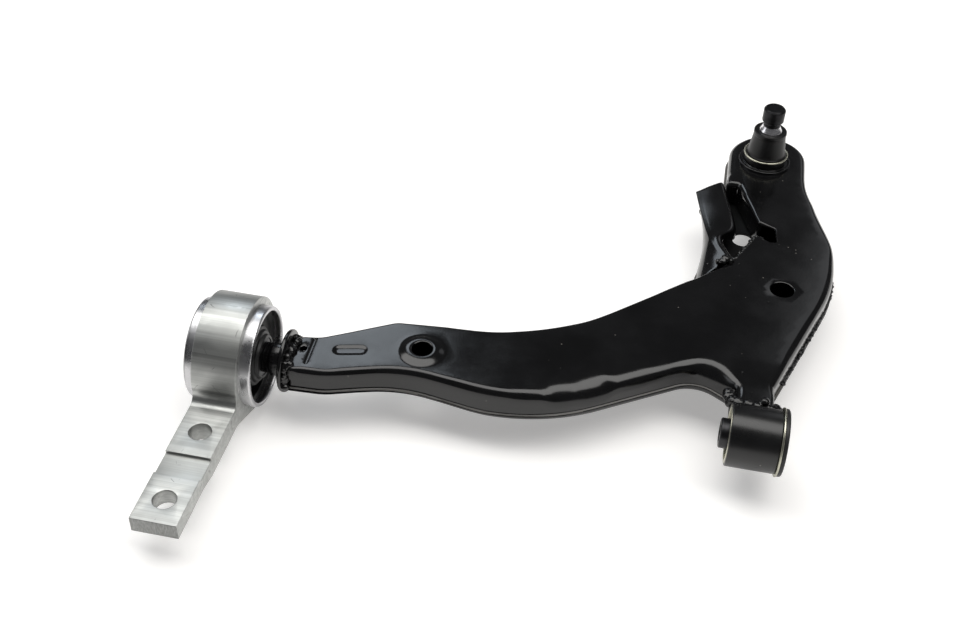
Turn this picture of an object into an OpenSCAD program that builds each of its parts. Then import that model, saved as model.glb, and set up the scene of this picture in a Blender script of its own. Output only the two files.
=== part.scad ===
// Lower control arm for a front wheel, left-hand side.
// Origin: middle of the front bush, on the line through both bushes.
// +X runs along that line from the rear bush to the front one,
// +Y runs out towards the ball joint, +Z is up. Millimetres.

/* [Arm layout] */
// Distance between the middles of the front and rear bushes
bush_span = 402.5; // [360:1:440]
// Ball joint axis, distance out from the bush line
ball_y = 364.6; // [330:1:400]
// Ball joint axis, distance forward of the front bush middle
ball_x = -5; // [-20:1:10]
// Height of the arm's flat top above the bush line
arm_top = 10; // [8:0.5:14]
// Depth of the arm's floor below the bush line, in the wide part
floor_depth = 16; // [13:0.5:20]
// Depth of the floor at the narrow rear leg
leg_depth = 11.5; // [9:0.5:13]
// Half width of the rear leg where it meets the end plate
leg_half_w = 21.5; // [18:0.5:22]
// Thickness of the pressed sheet
sheet = 3; // [2:0.1:3.6]
// Height of the lower pressing's upturned lip
lip_h = 7; // [5:0.5:9]
// Length of wall that the upper pressing tucks inside that lip
tuck = 4; // [2:0.5:5]
// Thickness of the web plate that closes the window's outer side
web_t = 3.5; // [2:0.1:4]

/* [Holes in the arm] */
// Radius of the dished hole in the rear leg
leg_hole_r = 8.2; // [6:0.1:10]
// Dished hole, distance forward of the rear bush
leg_hole_x = 144.5; // [130:0.5:155]
// Dished hole, distance out from the bush line
leg_hole_y = 25; // [24:0.5:34]
// Radius of the tooling hole in the wide part
tool_hole_r = 10; // [7:0.5:12]
// Radius of the drain hole beside the end plate
drain_r = 2.5; // [2:0.1:3]
// Radius of the gap in the floor under the window
floor_gap_r = 9; // [6:0.5:11]

/* [Rear pin] */
// Radius of the pin through the rear bush
pin_r = 12; // [10:0.5:13]
// Radius of the pin's tail inside the leg
tail_r = 6; // [5:0.25:6.5]
// Length of that tail
tail_l = 34; // [20:1:45]
// Chamfer on the free end of the pin
pin_chamfer = 2; // [1:0.5:3]
// Radius of the round end plate
plate_r = 25; // [22:0.5:27]
// Thickness of the end plate
plate_t = 3.5; // [2.5:0.5:5]
// Gap between the rear bush rim and the end plate
pin_gap = 15.5; // [12:0.5:20]

/* [Rear bush and bracket] */
// Outer radius of the rear bush's steel sleeve
rear_r = 40; // [37:0.5:42]
// Length of that sleeve
rear_l = 52.8; // [46:0.2:58]
// Wall of the rear bush sleeves
rear_wall = 2; // [1.5:0.1:2.5]
// Wall of the rear inner sleeve
rear_inner_wall = 3; // [2:0.5:4]
// How far the rubber's web sits back from each rim
web_back = 9; // [6:0.5:12]
// Wall of the bracket's barrel round that sleeve
barrel_wall = 6.4; // [4:0.2:9]
// Width of the extruded bracket along the bush line
bracket_w = 35; // [30:0.5:42]
// Level of the bracket leg's top below the bush line
leg_top = 12; // [10:0.5:15]
// Thickness of the leg beside the barrel
leg_thick = 17; // [14:0.5:20]
// Thickness of the leg's thin outer tab
tab_thick = 13.5; // [11:0.5:16]
// Reach of the leg from the bush line
leg_reach = 167; // [155:1:180]
// Distance from the bush line to the nearer bolt hole
bolt_a = 77.5; // [72:0.5:84]
// Distance between the two bolt holes
bolt_span = 68; // [60:0.5:74]
// Radius of the bracket's bolt holes
bolt_r = 8.5; // [7:0.1:9.5]
// Depth of the shallow recess between the bolt holes
recess = 2.5; // [1:0.1:3]
// Radius of the fillet between barrel and leg
barrel_fillet = 8; // [5:0.5:12]

/* [Front bush] */
// Outer radius of the welded eye
eye_r = 24; // [22:0.5:26]
// Length of the eye
eye_l = 37; // [32:0.5:42]
// Wall of the eye
eye_wall = 3; // [2.5:0.1:3.5]
// Wall of the bush's outer sleeve
bush_wall = 1.5; // [1:0.1:2]
// How far the outer sleeve's flange stands out past the eye
flange_out = 2.3; // [1:0.1:4]
// Thickness of that flange
flange_t = 1.6; // [1:0.1:2]
// Thickness of the rubber bumper in front of the flange
bumper_t = 3.5; // [2:0.5:5]
// Outer radius of the front inner sleeve
inner_r = 11.4; // [10.5:0.1:12.5]
// Bolt bore radius of the front inner sleeve
inner_bore_r = 7.1; // [6:0.1:8]
// Length of the front inner sleeve
inner_l = 49.8; // [46:0.2:56]

/* [Ball joint] */
// Radius of the clamped head of the stud
stud_r = 10; // [9:0.1:11]
// Radius of the ball
ball_r = 14; // [13:0.25:14.5]
// Height of the ball's middle above the bush line
ball_z = -1; // [-2:0.5:0]
// Height of the stud's tip above the bush line
stud_top = 68; // [64:0.5:74]
// Length of the clamped head
head_l = 14; // [11:0.5:16]
// Radius of the stud's neck beside the ball
neck_r = 7; // [6:0.25:7.5]
// Wall of the polymer seats beside the ball
seat_wall = 3.2; // [2:0.1:4]
// How far the housing's collar stands out past its body
collar_out = 2.6; // [1.5:0.1:5]
// Thickness of that collar
collar_t = 2.2; // [1.5:0.1:3]
// Wall between the housing's bore and its outside
housing_wall = 4; // [3.5:0.25:5]
// Width of the arm's flat band round the housing
end_band = 16; // [12:0.5:20]
// Middle of the arm's round end, distance forward of the ball joint's axis
end_forward = 3.2; // [0:0.1:5]
// Middle of the arm's round end, distance out from that axis
end_out = 10.6; // [0:0.1:14]
// Depth of the housing's underside below the bush line
housing_depth = 24; // [22:0.5:27]
// Thickness of the bottom cover
cover_t = 3; // [2:0.25:4]
// Thickness of the disc spring under the lower seat
spring_t = 1.4; // [1:0.1:2]

/* [Dust boot] */
// How far the boot's shoulder stands out past the housing's bore
boot_out = 1.2; // [0.9:0.1:1.8]
// Width of the boot's top lip round the stud
boot_lip_w = 4.1; // [3:0.1:5]
// Height of the boot's top lip above the bush line
boot_top = 44.4; // [42:0.2:48]
// Height of the boot's shoulder above the bush line
boot_shoulder = 24.2; // [23:0.2:27]
// Wall of the boot
boot_wall = 1.8; // [1.2:0.1:2.4]
// Radius of the wire in the ring round the boot's foot
ring_wire_r = 0.9; // [0.6:0.1:1.2]
// Thickness of the steel ring inside the boot's lip
lip_ring_t = 1.8; // [1:0.1:2.2]

/* [Fits] */
// Gap on the radius between a turning part and the rubber round it
bond_gap = 0.05; // [0.02:0.01:0.09]
// Gap on the radius between the ball and its seats
ball_gap = 0.3; // [0.2:0.05:0.5]

/* [Hidden] */
$fn = 96;
arc_steps = 8;
eps = 0.01;

rear_x = -bush_span;
plate_x = rear_x + rear_l / 2 + pin_gap;
leg_end = plate_x + plate_t;
slope_start = leg_end + 57.1;
body_x = leg_end + 157.1;
eye_back = sqrt(eye_r * eye_r - 13 * 13);
barrel_r = rear_r + barrel_wall;
flange_r = eye_r + flange_out;
housing_bore = ball_r + ball_gap + seat_wall;
housing_r = housing_bore + housing_wall;
collar_r = housing_r + collar_out;
end_r = housing_r + end_band;
end_x = ball_x + end_forward;
end_y = ball_y + end_out;
stud_collar_r = stud_r + 0.5;
boot_lip_r = stud_collar_r + boot_lip_w;
boot_r = housing_bore + boot_out;

// Outline of the whole arm seen from above, anticlockwise, as corners [x, y, rounding radius].
ARM = [
    [leg_end, -leg_half_w, 0],
    [leg_end + 32.6, -leg_half_w + 1.8, 50],
    [leg_end + 88.4, -0.7, 95],
    [-162, -16, 145],
    [-46, 61, 26],
    [-eye_l / 2, 44, 0],
    [-eye_l / 2, eye_back, 0],
    [eye_l / 2 - 3, eye_back, 0],
    [eye_l / 2 - 3, 52, 4],
    [ball_x + 75.6, ball_y - 150.4, 172],
    [end_x + end_r, ball_y - 35, 130],
    [end_x + end_r, end_y + end_r, end_r - eps],
    [end_x - end_r, end_y + end_r, end_r - eps],
    [end_x - end_r, ball_y - 43, 4],
    [ball_x - 55, ball_y - 67, 3],
    [ball_x - 46, ball_y - 132.6, 150],
    [ball_x - 55, ball_y - 195.6, 12],
    [-168, 63.5, 180],
    [leg_end + 112, 60.5, 80],
    [leg_end + 71, 56.5, 20],
    [leg_end + 18, leg_half_w + 3, 25],
    [leg_end, leg_half_w, 0]];

// Window cut in the upper pressing beside the web plate, measured from the ball joint's axis.
WINDOW = [
    [-85, -43, 0],
    [-22, -45, 4],
    [-2, -101.6, 4],
    [13, -108.6, 2],
    [15, -128.6, 2],
    [9, -129.6, 1],
    [-2, -122.6, 2],
    [-22, -167.6, 5],
    [-57, -201.6, 0],
    [-85, -201.6, 0]];

// Upper edge of the web plate seen from above, measured from the same axis.
WEB = [[-50.5, -74.6], [-45, -115.6], [-33, -151.6], [-25.5, -163.1]];

function unit(v) = v / norm(v);
function flat(p) = [p[0], p[1]];
function inward(a, b) = let (d = unit(b - a)) [-d[1], d[0]];

// Points of the rounding arc of radius r at corner b, between its neighbours a and c.
function corner_arc(a, b, c, r) =
    let (
        u = unit(a - b),
        w = unit(c - b),
        half = acos(max(-1, min(1, u * w))) / 2,
        start = b + u * r / tan(half),
        stop = b + w * r / tan(half),
        centre = b + unit(u + w) * r / sin(half),
        from = atan2(start[1] - centre[1], start[0] - centre[0]),
        to = atan2(stop[1] - centre[1], stop[0] - centre[0]),
        turn = (to - from + 540) % 360 - 180)
    [for (k = [0 : arc_steps])
        centre + r * [cos(from + turn * k / arc_steps), sin(from + turn * k / arc_steps)]];

// An outline's corners turned into its points.
function rounded(corners) =
    let (n = len(corners))
    [for (i = [0 : n - 1])
        let (a = flat(corners[(i + n - 1) % n]), b = flat(corners[i]), c = flat(corners[(i + 1) % n]))
        each corners[i][2] < 0.05 ? [b] : corner_arc(a, b, c, corners[i][2])];

// The same corners moved inwards by t, so that every wall keeps its thickness.
function inset(corners, t) =
    let (n = len(corners))
    [for (i = [0 : n - 1])
        let (
            a = flat(corners[(i + n - 1) % n]),
            b = flat(corners[i]),
            c = flat(corners[(i + 1) % n]),
            n1 = inward(a, b),
            n2 = inward(b, c),
            moved = b + (n1 + n2) * t / (1 + n1 * n2),
            r = corners[i][2],
            kept = cross(b - a, c - b) > 0 ? r - t : r + t)
        [moved[0], moved[1], r < 0.05 ? 0 : max(kept, 0)]];

// Side view of the arm between a level above its floor and a top level.
module side_view(above_floor, top) {
    translate([0, 500, 0])
        rotate([90, 0, 0])
            linear_extrude(height = 600)
                polygon([
                    [leg_end - 20, -leg_depth + above_floor],
                    [slope_start, -leg_depth + above_floor],
                    [body_x, -floor_depth + above_floor],
                    [120, -floor_depth + above_floor],
                    [120, top],
                    [leg_end - 20, top]]);
}

// Side view of everything lower than a level above the floor.
module below_level(above_floor) {
    translate([0, 500, 0])
        rotate([90, 0, 0])
            linear_extrude(height = 600)
                polygon([
                    [leg_end - 20, -60],
                    [120, -60],
                    [120, -floor_depth + above_floor],
                    [body_x, -floor_depth + above_floor],
                    [slope_start, -leg_depth + above_floor],
                    [leg_end - 20, -leg_depth + above_floor]]);
}

module arm_block(shrink) {
    translate([0, 0, -50])
        linear_extrude(height = 100)
            polygon(rounded(inset(ARM, shrink)));
}

// Both ends of the box section stay open: one on the end plate, one on the eye.
module open_ends(wall) {
    translate([leg_end - 10, -leg_half_w + wall, -50])
        cube([20, 2 * (leg_half_w - wall), 100]);
    translate([-eye_l / 2 + wall, 0, -50])
        cube([eye_l - 3 - 2 * wall, 40, 100]);
}

module along_x(x, length, r) {
    translate([x, 0, 0])
        rotate([0, 90, 0])
            cylinder(h = length, r = r);
}

module tube_x(x, length, r, bore_r) {
    difference() {
        along_x(x, length, r);
        along_x(x - 1, length + 2, bore_r);
    }
}

module hole_z(x, y, r) {
    translate([x, y, -60])
        cylinder(h = 120, r = r);
}

// Children's origin is moved to the ball joint's axis.
module at_ball() {
    translate([ball_x, ball_y, 0])
        children();
}

module eye_hollow() {
    along_x(-eye_l / 2 - 20, eye_l + 40, eye_r);
}

module upper_shell() {
    color([0.09, 0.09, 0.1])
        difference() {
            intersection() {
                arm_block(sheet);
                side_view(lip_h - tuck, arm_top);
            }
            intersection() {
                union() {
                    arm_block(2 * sheet);
                    open_ends(2 * sheet);
                }
                side_view(-40, arm_top - sheet);
            }
            at_ball()
                translate([0, 0, -60])
                    linear_extrude(height = 120)
                        polygon(rounded(WINDOW));
            hole_z(rear_x + leg_hole_x, leg_hole_y, leg_hole_r);
            hole_z(ball_x + 21, ball_y - 194.6, tool_hole_r);
            hole_z(leg_end + 9, 6, drain_r);
            hole_z(ball_x, ball_y, housing_r);
            eye_hollow();
        }
}

module lower_shell() {
    color([0.07, 0.07, 0.08])
        difference() {
            intersection() {
                arm_block(0);
                side_view(0, 40);
                below_level(lip_h);
            }
            intersection() {
                union() {
                    arm_block(sheet);
                    open_ends(sheet);
                }
                side_view(sheet, 60);
            }
            hole_z(rear_x + leg_hole_x, leg_hole_y, leg_hole_r);
            hole_z(ball_x - 12, ball_y - 98.6, floor_gap_r);
            hole_z(ball_x, ball_y, housing_r);
            eye_hollow();
        }
}

module web_wall(from, to, bottom, top, thick) {
    d = unit(to - from);
    side = [-d[1], d[0]] * thick;
    translate([0, 0, bottom])
        linear_extrude(height = top - bottom)
            polygon([from, to, to - side, from - side]);
}

module web_plate() {
    floor_z = -floor_depth + sheet;
    color([0.1, 0.1, 0.11])
        at_ball() {
            for (i = [0 : len(WEB) - 2])
                web_wall(WEB[i + 1], WEB[i], floor_z, arm_top, web_t);
            // The plate's upper edge is folded in over its outer half.
            translate([0, 0, arm_top - 6])
                linear_extrude(height = 3)
                    polygon([WEB[0] + [1, 0], WEB[1] + [1, 0], WEB[1] + [20, 0], WEB[0] + [14, 8]]);
        }
}

module rear_end_plate() {
    color([0.1, 0.1, 0.11])
        tube_x(plate_x, plate_t, plate_r, tail_r);
}

module rear_pin() {
    free_end = rear_x - rear_l / 2;
    color([0.1, 0.1, 0.12])
        union() {
            along_x(free_end + pin_chamfer, plate_x - free_end - pin_chamfer, pin_r);
            translate([free_end, 0, 0])
                rotate([0, 90, 0])
                    cylinder(h = pin_chamfer, r1 = pin_r - pin_chamfer, r2 = pin_r);
            along_x(plate_x - 1, plate_t + tail_l + 1, tail_r);
        }
}

module front_eye() {
    color([0.08, 0.08, 0.09])
        tube_x(-eye_l / 2, eye_l, eye_r, eye_r - eye_wall);
}

module front_bush_outer_sleeve() {
    outer = eye_r - eye_wall;
    color([0.55, 0.55, 0.52])
        difference() {
            union() {
                along_x(-eye_l / 2 + 1, eye_l - 1 + flange_t, outer);
                along_x(eye_l / 2, flange_t, flange_r);
            }
            along_x(-eye_l, 2 * eye_l, outer - bush_wall);
        }
}

module front_bush_rubber() {
    outer = eye_r - eye_wall - bush_wall;
    front = eye_l / 2 + flange_t;
    color([0.05, 0.05, 0.05])
        difference() {
            union() {
                along_x(-eye_l / 2 + 4, eye_l - 4 + flange_t, outer);
                along_x(front, bumper_t, flange_r - 1.2);
            }
            along_x(-eye_l, 2 * eye_l, inner_r + bond_gap);
        }
}

module front_bush_inner_sleeve() {
    color([0.12, 0.12, 0.13])
        tube_x(-inner_l / 2, inner_l, inner_r, inner_bore_r);
}

// Side view of the bracket's stepped leg, without the fillet under the barrel.
module leg_profile() {
    top = -leg_top;
    step_in = bolt_a + 24;
    step_out = bolt_a + 45.5;
    polygon(rounded([
        [-10, -20, 0],
        [-17.5, -barrel_r * 0.925, 0],
        [-50, top - leg_thick, 22],
        [-step_in - 1, top - leg_thick, 8],
        [-step_out + 4, top - tab_thick, 8],
        [-leg_reach, top - tab_thick, 0.5],
        [-leg_reach, top, 0.5],
        [-step_out, top, 0.3],
        [-step_out + 1, top - recess, 0.3],
        [-step_in, top - recess, 0.3],
        [-step_in, top, 0.3],
        [-barrel_r + 10, top, 0]]));
}

// Side view of the fillet where the leg's top meets the barrel.
module barrel_fillet_profile() {
    fillet_z = -leg_top + barrel_fillet;
    reach = barrel_r + barrel_fillet;
    fillet_y = -sqrt(reach * reach - fillet_z * fillet_z);
    difference() {
        polygon([
            [-barrel_r + 8, -leg_top - 1],
            [fillet_y, -leg_top - 1],
            [fillet_y, -leg_top],
            [fillet_y * barrel_r / reach, fillet_z * barrel_r / reach],
            [-barrel_r + 8, fillet_z * barrel_r / reach]]);
        translate([fillet_y, fillet_z])
            circle(r = barrel_fillet);
    }
}

module bracket_slice() {
    translate([rear_x - bracket_w / 2, 0, 0])
        rotate([90, 0, 90])
            linear_extrude(height = bracket_w)
                children();
}

module rear_bracket() {
    color([0.78, 0.79, 0.8])
        difference() {
            union() {
                along_x(rear_x - bracket_w / 2, bracket_w, barrel_r);
                bracket_slice() leg_profile();
                bracket_slice() barrel_fillet_profile();
            }
            along_x(rear_x - bracket_w, 2 * bracket_w, rear_r);
            for (y = [bolt_a, bolt_a + bolt_span]) {
                hole_z(rear_x, -y, bolt_r);
                translate([rear_x, -y, -leg_top - 0.6])
                    cylinder(h = 1.2, r1 = bolt_r - 0.2, r2 = bolt_r + 1);
            }
        }
}

module rear_bush_outer_sleeve() {
    color([0.7, 0.71, 0.73])
        tube_x(rear_x - rear_l / 2, rear_l, rear_r, rear_r - rear_wall);
}

function rear_inner_r() = pin_r + rear_inner_wall;

module rear_bush_inner_sleeve() {
    color([0.3, 0.3, 0.32])
        tube_x(rear_x - rear_l / 2 + 2, rear_l - 4, rear_inner_r(), pin_r);
}

function sector(r_in, r_out, from, to) = concat(
    [for (k = [0 : arc_steps]) let (a = from + (to - from) * k / arc_steps) r_in * [cos(a), sin(a)]],
    [for (k = [arc_steps : -1 : 0]) let (a = from + (to - from) * k / arc_steps) r_out * [cos(a), sin(a)]]);

module rear_bush_rubber() {
    outer = rear_r - rear_wall;
    bore = rear_inner_r() + bond_gap;
    half = rear_l / 2 - web_back;
    hub_end = rear_l / 2 - 3;
    hub_r = rear_inner_r() + 9;
    color([0.06, 0.06, 0.06])
        difference() {
            translate([rear_x, 0, 0])
                rotate([0, 90, 0])
                    rotate_extrude()
                        polygon([
                            [bore, -hub_end],
                            [bore + 2, -hub_end],
                            [hub_r, -half],
                            [outer, -half],
                            [outer, half],
                            [hub_r, half],
                            [bore + 2, hub_end],
                            [bore, hub_end]]);
            for (side = [0, 180])
                translate([rear_x - rear_l, 0, 0])
                    rotate([90, 0, 90])
                        linear_extrude(height = 2 * rear_l)
                            polygon(sector(hub_r, outer - 3, side + 50, side + 130));
        }
}

module ball_housing() {
    collar_top = arm_top + collar_t;
    neck_top = collar_top + 4;
    mouth_z = ball_z + 9;
    color([0.07, 0.07, 0.08])
        at_ball()
            rotate_extrude()
                polygon([
                    [housing_bore, -housing_depth],
                    [housing_r, -housing_depth],
                    [housing_r, arm_top],
                    [collar_r, arm_top],
                    [collar_r, collar_top],
                    [boot_r - boot_wall, collar_top],
                    [boot_r - boot_wall, neck_top],
                    [housing_bore - 1.3, neck_top],
                    [ball_r - 0.6, mouth_z],
                    [housing_bore, mouth_z]]);
}

module ball_void() {
    translate([0, 0, ball_z])
        sphere(r = ball_r + ball_gap);
}

module ball_seat_upper() {
    color([0.85, 0.85, 0.8])
        at_ball()
            difference() {
                translate([0, 0, ball_z])
                    cylinder(h = 9, r = housing_bore);
                ball_void();
                translate([0, 0, ball_z + 7])
                    cylinder(h = 3, r = ball_r - 0.6);
            }
}

module ball_seat_lower() {
    depth = housing_depth - cover_t - spring_t + ball_z;
    color([0.8, 0.8, 0.75])
        at_ball()
            difference() {
                translate([0, 0, ball_z - depth])
                    cylinder(h = depth, r = housing_bore);
                ball_void();
                translate([0, 0, ball_z - depth - 1])
                    cylinder(h = depth, r = 3);
            }
}

module seat_spring() {
    color([0.5, 0.5, 0.52])
        at_ball()
            translate([0, 0, -housing_depth + cover_t])
                difference() {
                    cylinder(h = spring_t, r = housing_bore - 0.5);
                    translate([0, 0, -1])
                        cylinder(h = spring_t + 2, r = 7);
                }
}

module ball_cover() {
    color([0.3, 0.3, 0.32])
        at_ball()
            translate([0, 0, -housing_depth])
                cylinder(h = cover_t, r = housing_bore);
}

lip_ring_r = boot_lip_r - 1.8;
lip_ring_depth = 1.2;

module ball_stud() {
    head_z = stud_top - head_l;
    neck_z = ball_z + sqrt(ball_r * ball_r - neck_r * neck_r);
    shoulder_z = boot_top - 4;
    waist_r = stud_r - 2.5;
    waist_z = (head_z + boot_top + 1.5) / 2;
    color([0.14, 0.14, 0.15])
        at_ball()
            union() {
                translate([0, 0, ball_z])
                    sphere(r = ball_r);
                rotate_extrude()
                    polygon([
                        [0, ball_z],
                        [neck_r, ball_z],
                        [neck_r, neck_z + 10],
                        [stud_r - 1, shoulder_z - 8],
                        [stud_collar_r, shoulder_z],
                        [stud_collar_r, boot_top + 1.5],
                        [waist_r + 0.6, waist_z - 1.8],
                        [waist_r, waist_z],
                        [waist_r + 0.6, waist_z + 1.8],
                        [stud_r, head_z],
                        [stud_r, stud_top - 1.5],
                        [stud_r - 1.5, stud_top],
                        [0, stud_top]]);
            }
}

module dust_boot() {
    seat_z = arm_top + collar_t + 0.3;
    bore = stud_collar_r + bond_gap;
    ring_top = boot_top - lip_ring_depth + bond_gap;
    groove_h = lip_ring_t + 2 * bond_gap;
    color([0.05, 0.05, 0.05])
        at_ball()
            rotate_extrude()
                polygon([
                    [boot_r - boot_wall + bond_gap, seat_z],
                    [boot_r + 0.8, seat_z],
                    [boot_r + 0.8, seat_z + 5],
                    [boot_r - 0.2, seat_z + 5.6],
                    [boot_r - 0.2, seat_z + 8],
                    [boot_r, boot_shoulder],
                    [boot_lip_r - 0.4, boot_top - 4],
                    [boot_lip_r, boot_top - 3],
                    [boot_lip_r, boot_top],
                    [bore, boot_top],
                    [bore, ring_top],
                    [lip_ring_r + bond_gap, ring_top],
                    [lip_ring_r + bond_gap, ring_top - groove_h],
                    [bore, ring_top - groove_h],
                    [bore, boot_top - 4.4],
                    [boot_lip_r - 0.4 - boot_wall, boot_top - 5.4],
                    [boot_r - boot_wall, boot_shoulder - 1],
                    [boot_r - boot_wall + bond_gap, seat_z + 4]]);
}

module boot_lower_ring() {
    color([0.55, 0.55, 0.56])
        at_ball()
            translate([0, 0, arm_top + collar_t + 7.1])
                rotate_extrude()
                    translate([boot_r + ring_wire_r + 0.1, 0])
                        circle(r = ring_wire_r, $fn = 32);
}

module boot_upper_ring() {
    color([0.2, 0.2, 0.2])
        at_ball()
            translate([0, 0, boot_top - lip_ring_depth - lip_ring_t])
                difference() {
                    cylinder(h = lip_ring_t, r = lip_ring_r);
                    translate([0, 0, -1])
                        cylinder(h = lip_ring_t + 2, r = stud_collar_r + 0.35);
                }
}

upper_shell();
lower_shell();
web_plate();
rear_end_plate();
rear_pin();
front_eye();
front_bush_outer_sleeve();
front_bush_rubber();
front_bush_inner_sleeve();
rear_bracket();
rear_bush_outer_sleeve();
rear_bush_rubber();
rear_bush_inner_sleeve();
ball_housing();
ball_seat_upper();
ball_seat_lower();
seat_spring();
ball_cover();
ball_stud();
dust_boot();
boot_lower_ring();
boot_upper_ring();
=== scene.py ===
"""Finishes a pressed-steel control arm round its packed design: skins, welds, bushes, boot and materials."""

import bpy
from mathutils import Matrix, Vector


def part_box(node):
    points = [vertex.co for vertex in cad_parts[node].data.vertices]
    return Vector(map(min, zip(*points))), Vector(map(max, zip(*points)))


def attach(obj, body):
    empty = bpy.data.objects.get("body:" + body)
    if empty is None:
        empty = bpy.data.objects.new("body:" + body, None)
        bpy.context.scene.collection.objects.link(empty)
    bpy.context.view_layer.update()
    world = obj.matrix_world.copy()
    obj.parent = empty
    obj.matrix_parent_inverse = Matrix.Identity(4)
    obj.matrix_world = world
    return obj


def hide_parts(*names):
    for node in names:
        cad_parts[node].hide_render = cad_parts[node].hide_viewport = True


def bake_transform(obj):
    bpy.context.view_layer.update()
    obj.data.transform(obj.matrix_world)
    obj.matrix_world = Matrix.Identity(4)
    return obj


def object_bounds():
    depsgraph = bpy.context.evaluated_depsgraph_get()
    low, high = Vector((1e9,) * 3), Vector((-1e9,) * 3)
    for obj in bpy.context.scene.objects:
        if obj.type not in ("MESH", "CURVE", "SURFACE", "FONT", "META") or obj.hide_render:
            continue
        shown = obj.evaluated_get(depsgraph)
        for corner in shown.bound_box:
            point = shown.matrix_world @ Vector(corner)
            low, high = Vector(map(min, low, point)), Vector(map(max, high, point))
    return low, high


bl_info = {
    "name": "Control Arm",
    "version": (1, 0, 0),
    "blender": (4, 5, 0),
    "location": "3D View > Sidebar > Control Arm",
    "description": "Pressed steel control arm with bushes, extruded bracket and ball joint",
    "category": "Add Mesh",
}

import math
import random

import bmesh
import bpy
import numpy as np
from bpy.props import FloatProperty, FloatVectorProperty, PointerProperty
from mathutils import Matrix, Vector
from mathutils.geometry import delaunay_2d_cdt

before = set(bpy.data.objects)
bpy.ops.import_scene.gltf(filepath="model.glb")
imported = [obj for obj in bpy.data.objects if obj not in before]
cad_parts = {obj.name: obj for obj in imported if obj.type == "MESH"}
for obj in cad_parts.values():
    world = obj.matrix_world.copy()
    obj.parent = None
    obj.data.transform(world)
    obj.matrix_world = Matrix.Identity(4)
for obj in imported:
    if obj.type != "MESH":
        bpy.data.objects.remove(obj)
CAD_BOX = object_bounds()
MM = 0.001


# ---------------------------------------------------------------- places taken from the frame, in millimetres

def span(node):
    """A node's lowest and highest corners, in millimetres."""
    low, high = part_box(node)
    return low / MM, high / MM


ARM_LOW, ARM_HIGH = span("upper_shell")
FLOOR_LOW = span("lower_shell")[0]
ARM_TOP = ARM_HIGH.z
EYE_LOW, EYE_HIGH = span("front_eye")
EYE_R = EYE_HIGH.z
FLANGE_HIGH = span("front_bush_outer_sleeve")[1]
BUMPER_HIGH = span("front_bush_rubber")[1]
INNER_LOW, INNER_HIGH = span("front_bush_inner_sleeve")
SLEEVE_LOW, SLEEVE_HIGH = span("rear_bush_outer_sleeve")
REAR_X = (SLEEVE_LOW.x + SLEEVE_HIGH.x) / 2
REAR_R = SLEEVE_HIGH.z
REAR_HALF = SLEEVE_HIGH.x - REAR_X
PIN_LOW, PIN_HIGH = span("rear_pin")
PIN_R = PIN_HIGH.z
PLATE_LOW, PLATE_HIGH = span("rear_end_plate")
HOUSING_LOW, HOUSING_HIGH = span("ball_housing")
BALL_X = (HOUSING_LOW.x + HOUSING_HIGH.x) / 2
BALL_Y = (HOUSING_LOW.y + HOUSING_HIGH.y) / 2
COLLAR_R = HOUSING_HIGH.x - BALL_X
BOOT_LOW, BOOT_HIGH = span("dust_boot")
BOOT_FOOT_R = BOOT_HIGH.x - BALL_X
STUD_LOW, STUD_HIGH = span("ball_stud")
SAWN_END = span("rear_bracket")[0]
SHEET = 3.0
EYE_AXIS = ((0, 0, 0), (1, 0, 0), (0, 0, 1))
REAR_AXIS = ((REAR_X, 0, 0), (1, 0, 0), (0, 0, 1))
BALL_AXIS = ((BALL_X, BALL_Y, 0), (0, 0, 1), (1, 0, 0))


# ---------------------------------------------------------------- settings a user would change

class ControlArmPressings(bpy.types.PropertyGroup):
    """Sizes of the two pressings"""
    sheet: FloatProperty(name="Sheet", description="Thickness of the pressed sheet", default=2.8 * MM,
                         min=0.001, max=0.004, subtype="DISTANCE", unit="LENGTH")
    boss: FloatProperty(name="Boss", description="Height of the boss round the rear leg's hole",
                        default=2.3 * MM, min=0.0, max=0.005, subtype="DISTANCE", unit="LENGTH")
    weld: FloatProperty(name="Weld", description="Radius of the weld beads", default=3.2 * MM,
                        min=0.001, max=0.005, subtype="DISTANCE", unit="LENGTH")


class ControlArmTurned(bpy.types.PropertyGroup):
    """Sizes of the turned and extruded parts"""
    easing: FloatProperty(name="Easing", description="Radius on turned edges", default=0.8 * MM,
                          min=0.0002, max=0.002, subtype="DISTANCE", unit="LENGTH")
    extrusion_edge: FloatProperty(name="Bracket edge", description="Bevel on the bracket's sawn edges",
                                  default=0.45 * MM, min=0.0001, max=0.001, subtype="DISTANCE", unit="LENGTH")


class ControlArmFinish(bpy.types.PropertyGroup):
    """Colours of the finishes"""
    coat: FloatVectorProperty(name="Coat", description="Colour of the electrocoat", subtype="COLOR", size=4,
                              default=(0.0026, 0.0026, 0.0028, 1), min=0, max=1)
    aluminium: FloatVectorProperty(name="Aluminium", description="Colour of the extruded bracket",
                                   subtype="COLOR", size=4, default=(0.50, 0.51, 0.495, 1), min=0, max=1)
    steel: FloatVectorProperty(name="Steel", description="Colour of the bright turned steel", subtype="COLOR",
                               size=4, default=(0.52, 0.52, 0.53, 1), min=0, max=1)
    plating: FloatVectorProperty(name="Plating", description="Colour of the plated flange and ring",
                                 subtype="COLOR", size=4, default=(0.50, 0.49, 0.40, 1), min=0, max=1)
    rubber: FloatVectorProperty(name="Rubber", description="Colour of the bush rubber", subtype="COLOR",
                                size=4, default=(0.0065, 0.0065, 0.0066, 1), min=0, max=1)
    seat: FloatVectorProperty(name="Seats", description="Colour of the ball's polymer seats", subtype="COLOR",
                              size=4, default=(0.78, 0.77, 0.70, 1), min=0, max=1)
    floor: FloatVectorProperty(name="Floor", description="Colour of the studio floor", subtype="COLOR",
                               size=4, default=(0.86, 0.85, 0.84, 1), min=0, max=1)


# ---------------------------------------------------------------- material building blocks

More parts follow.
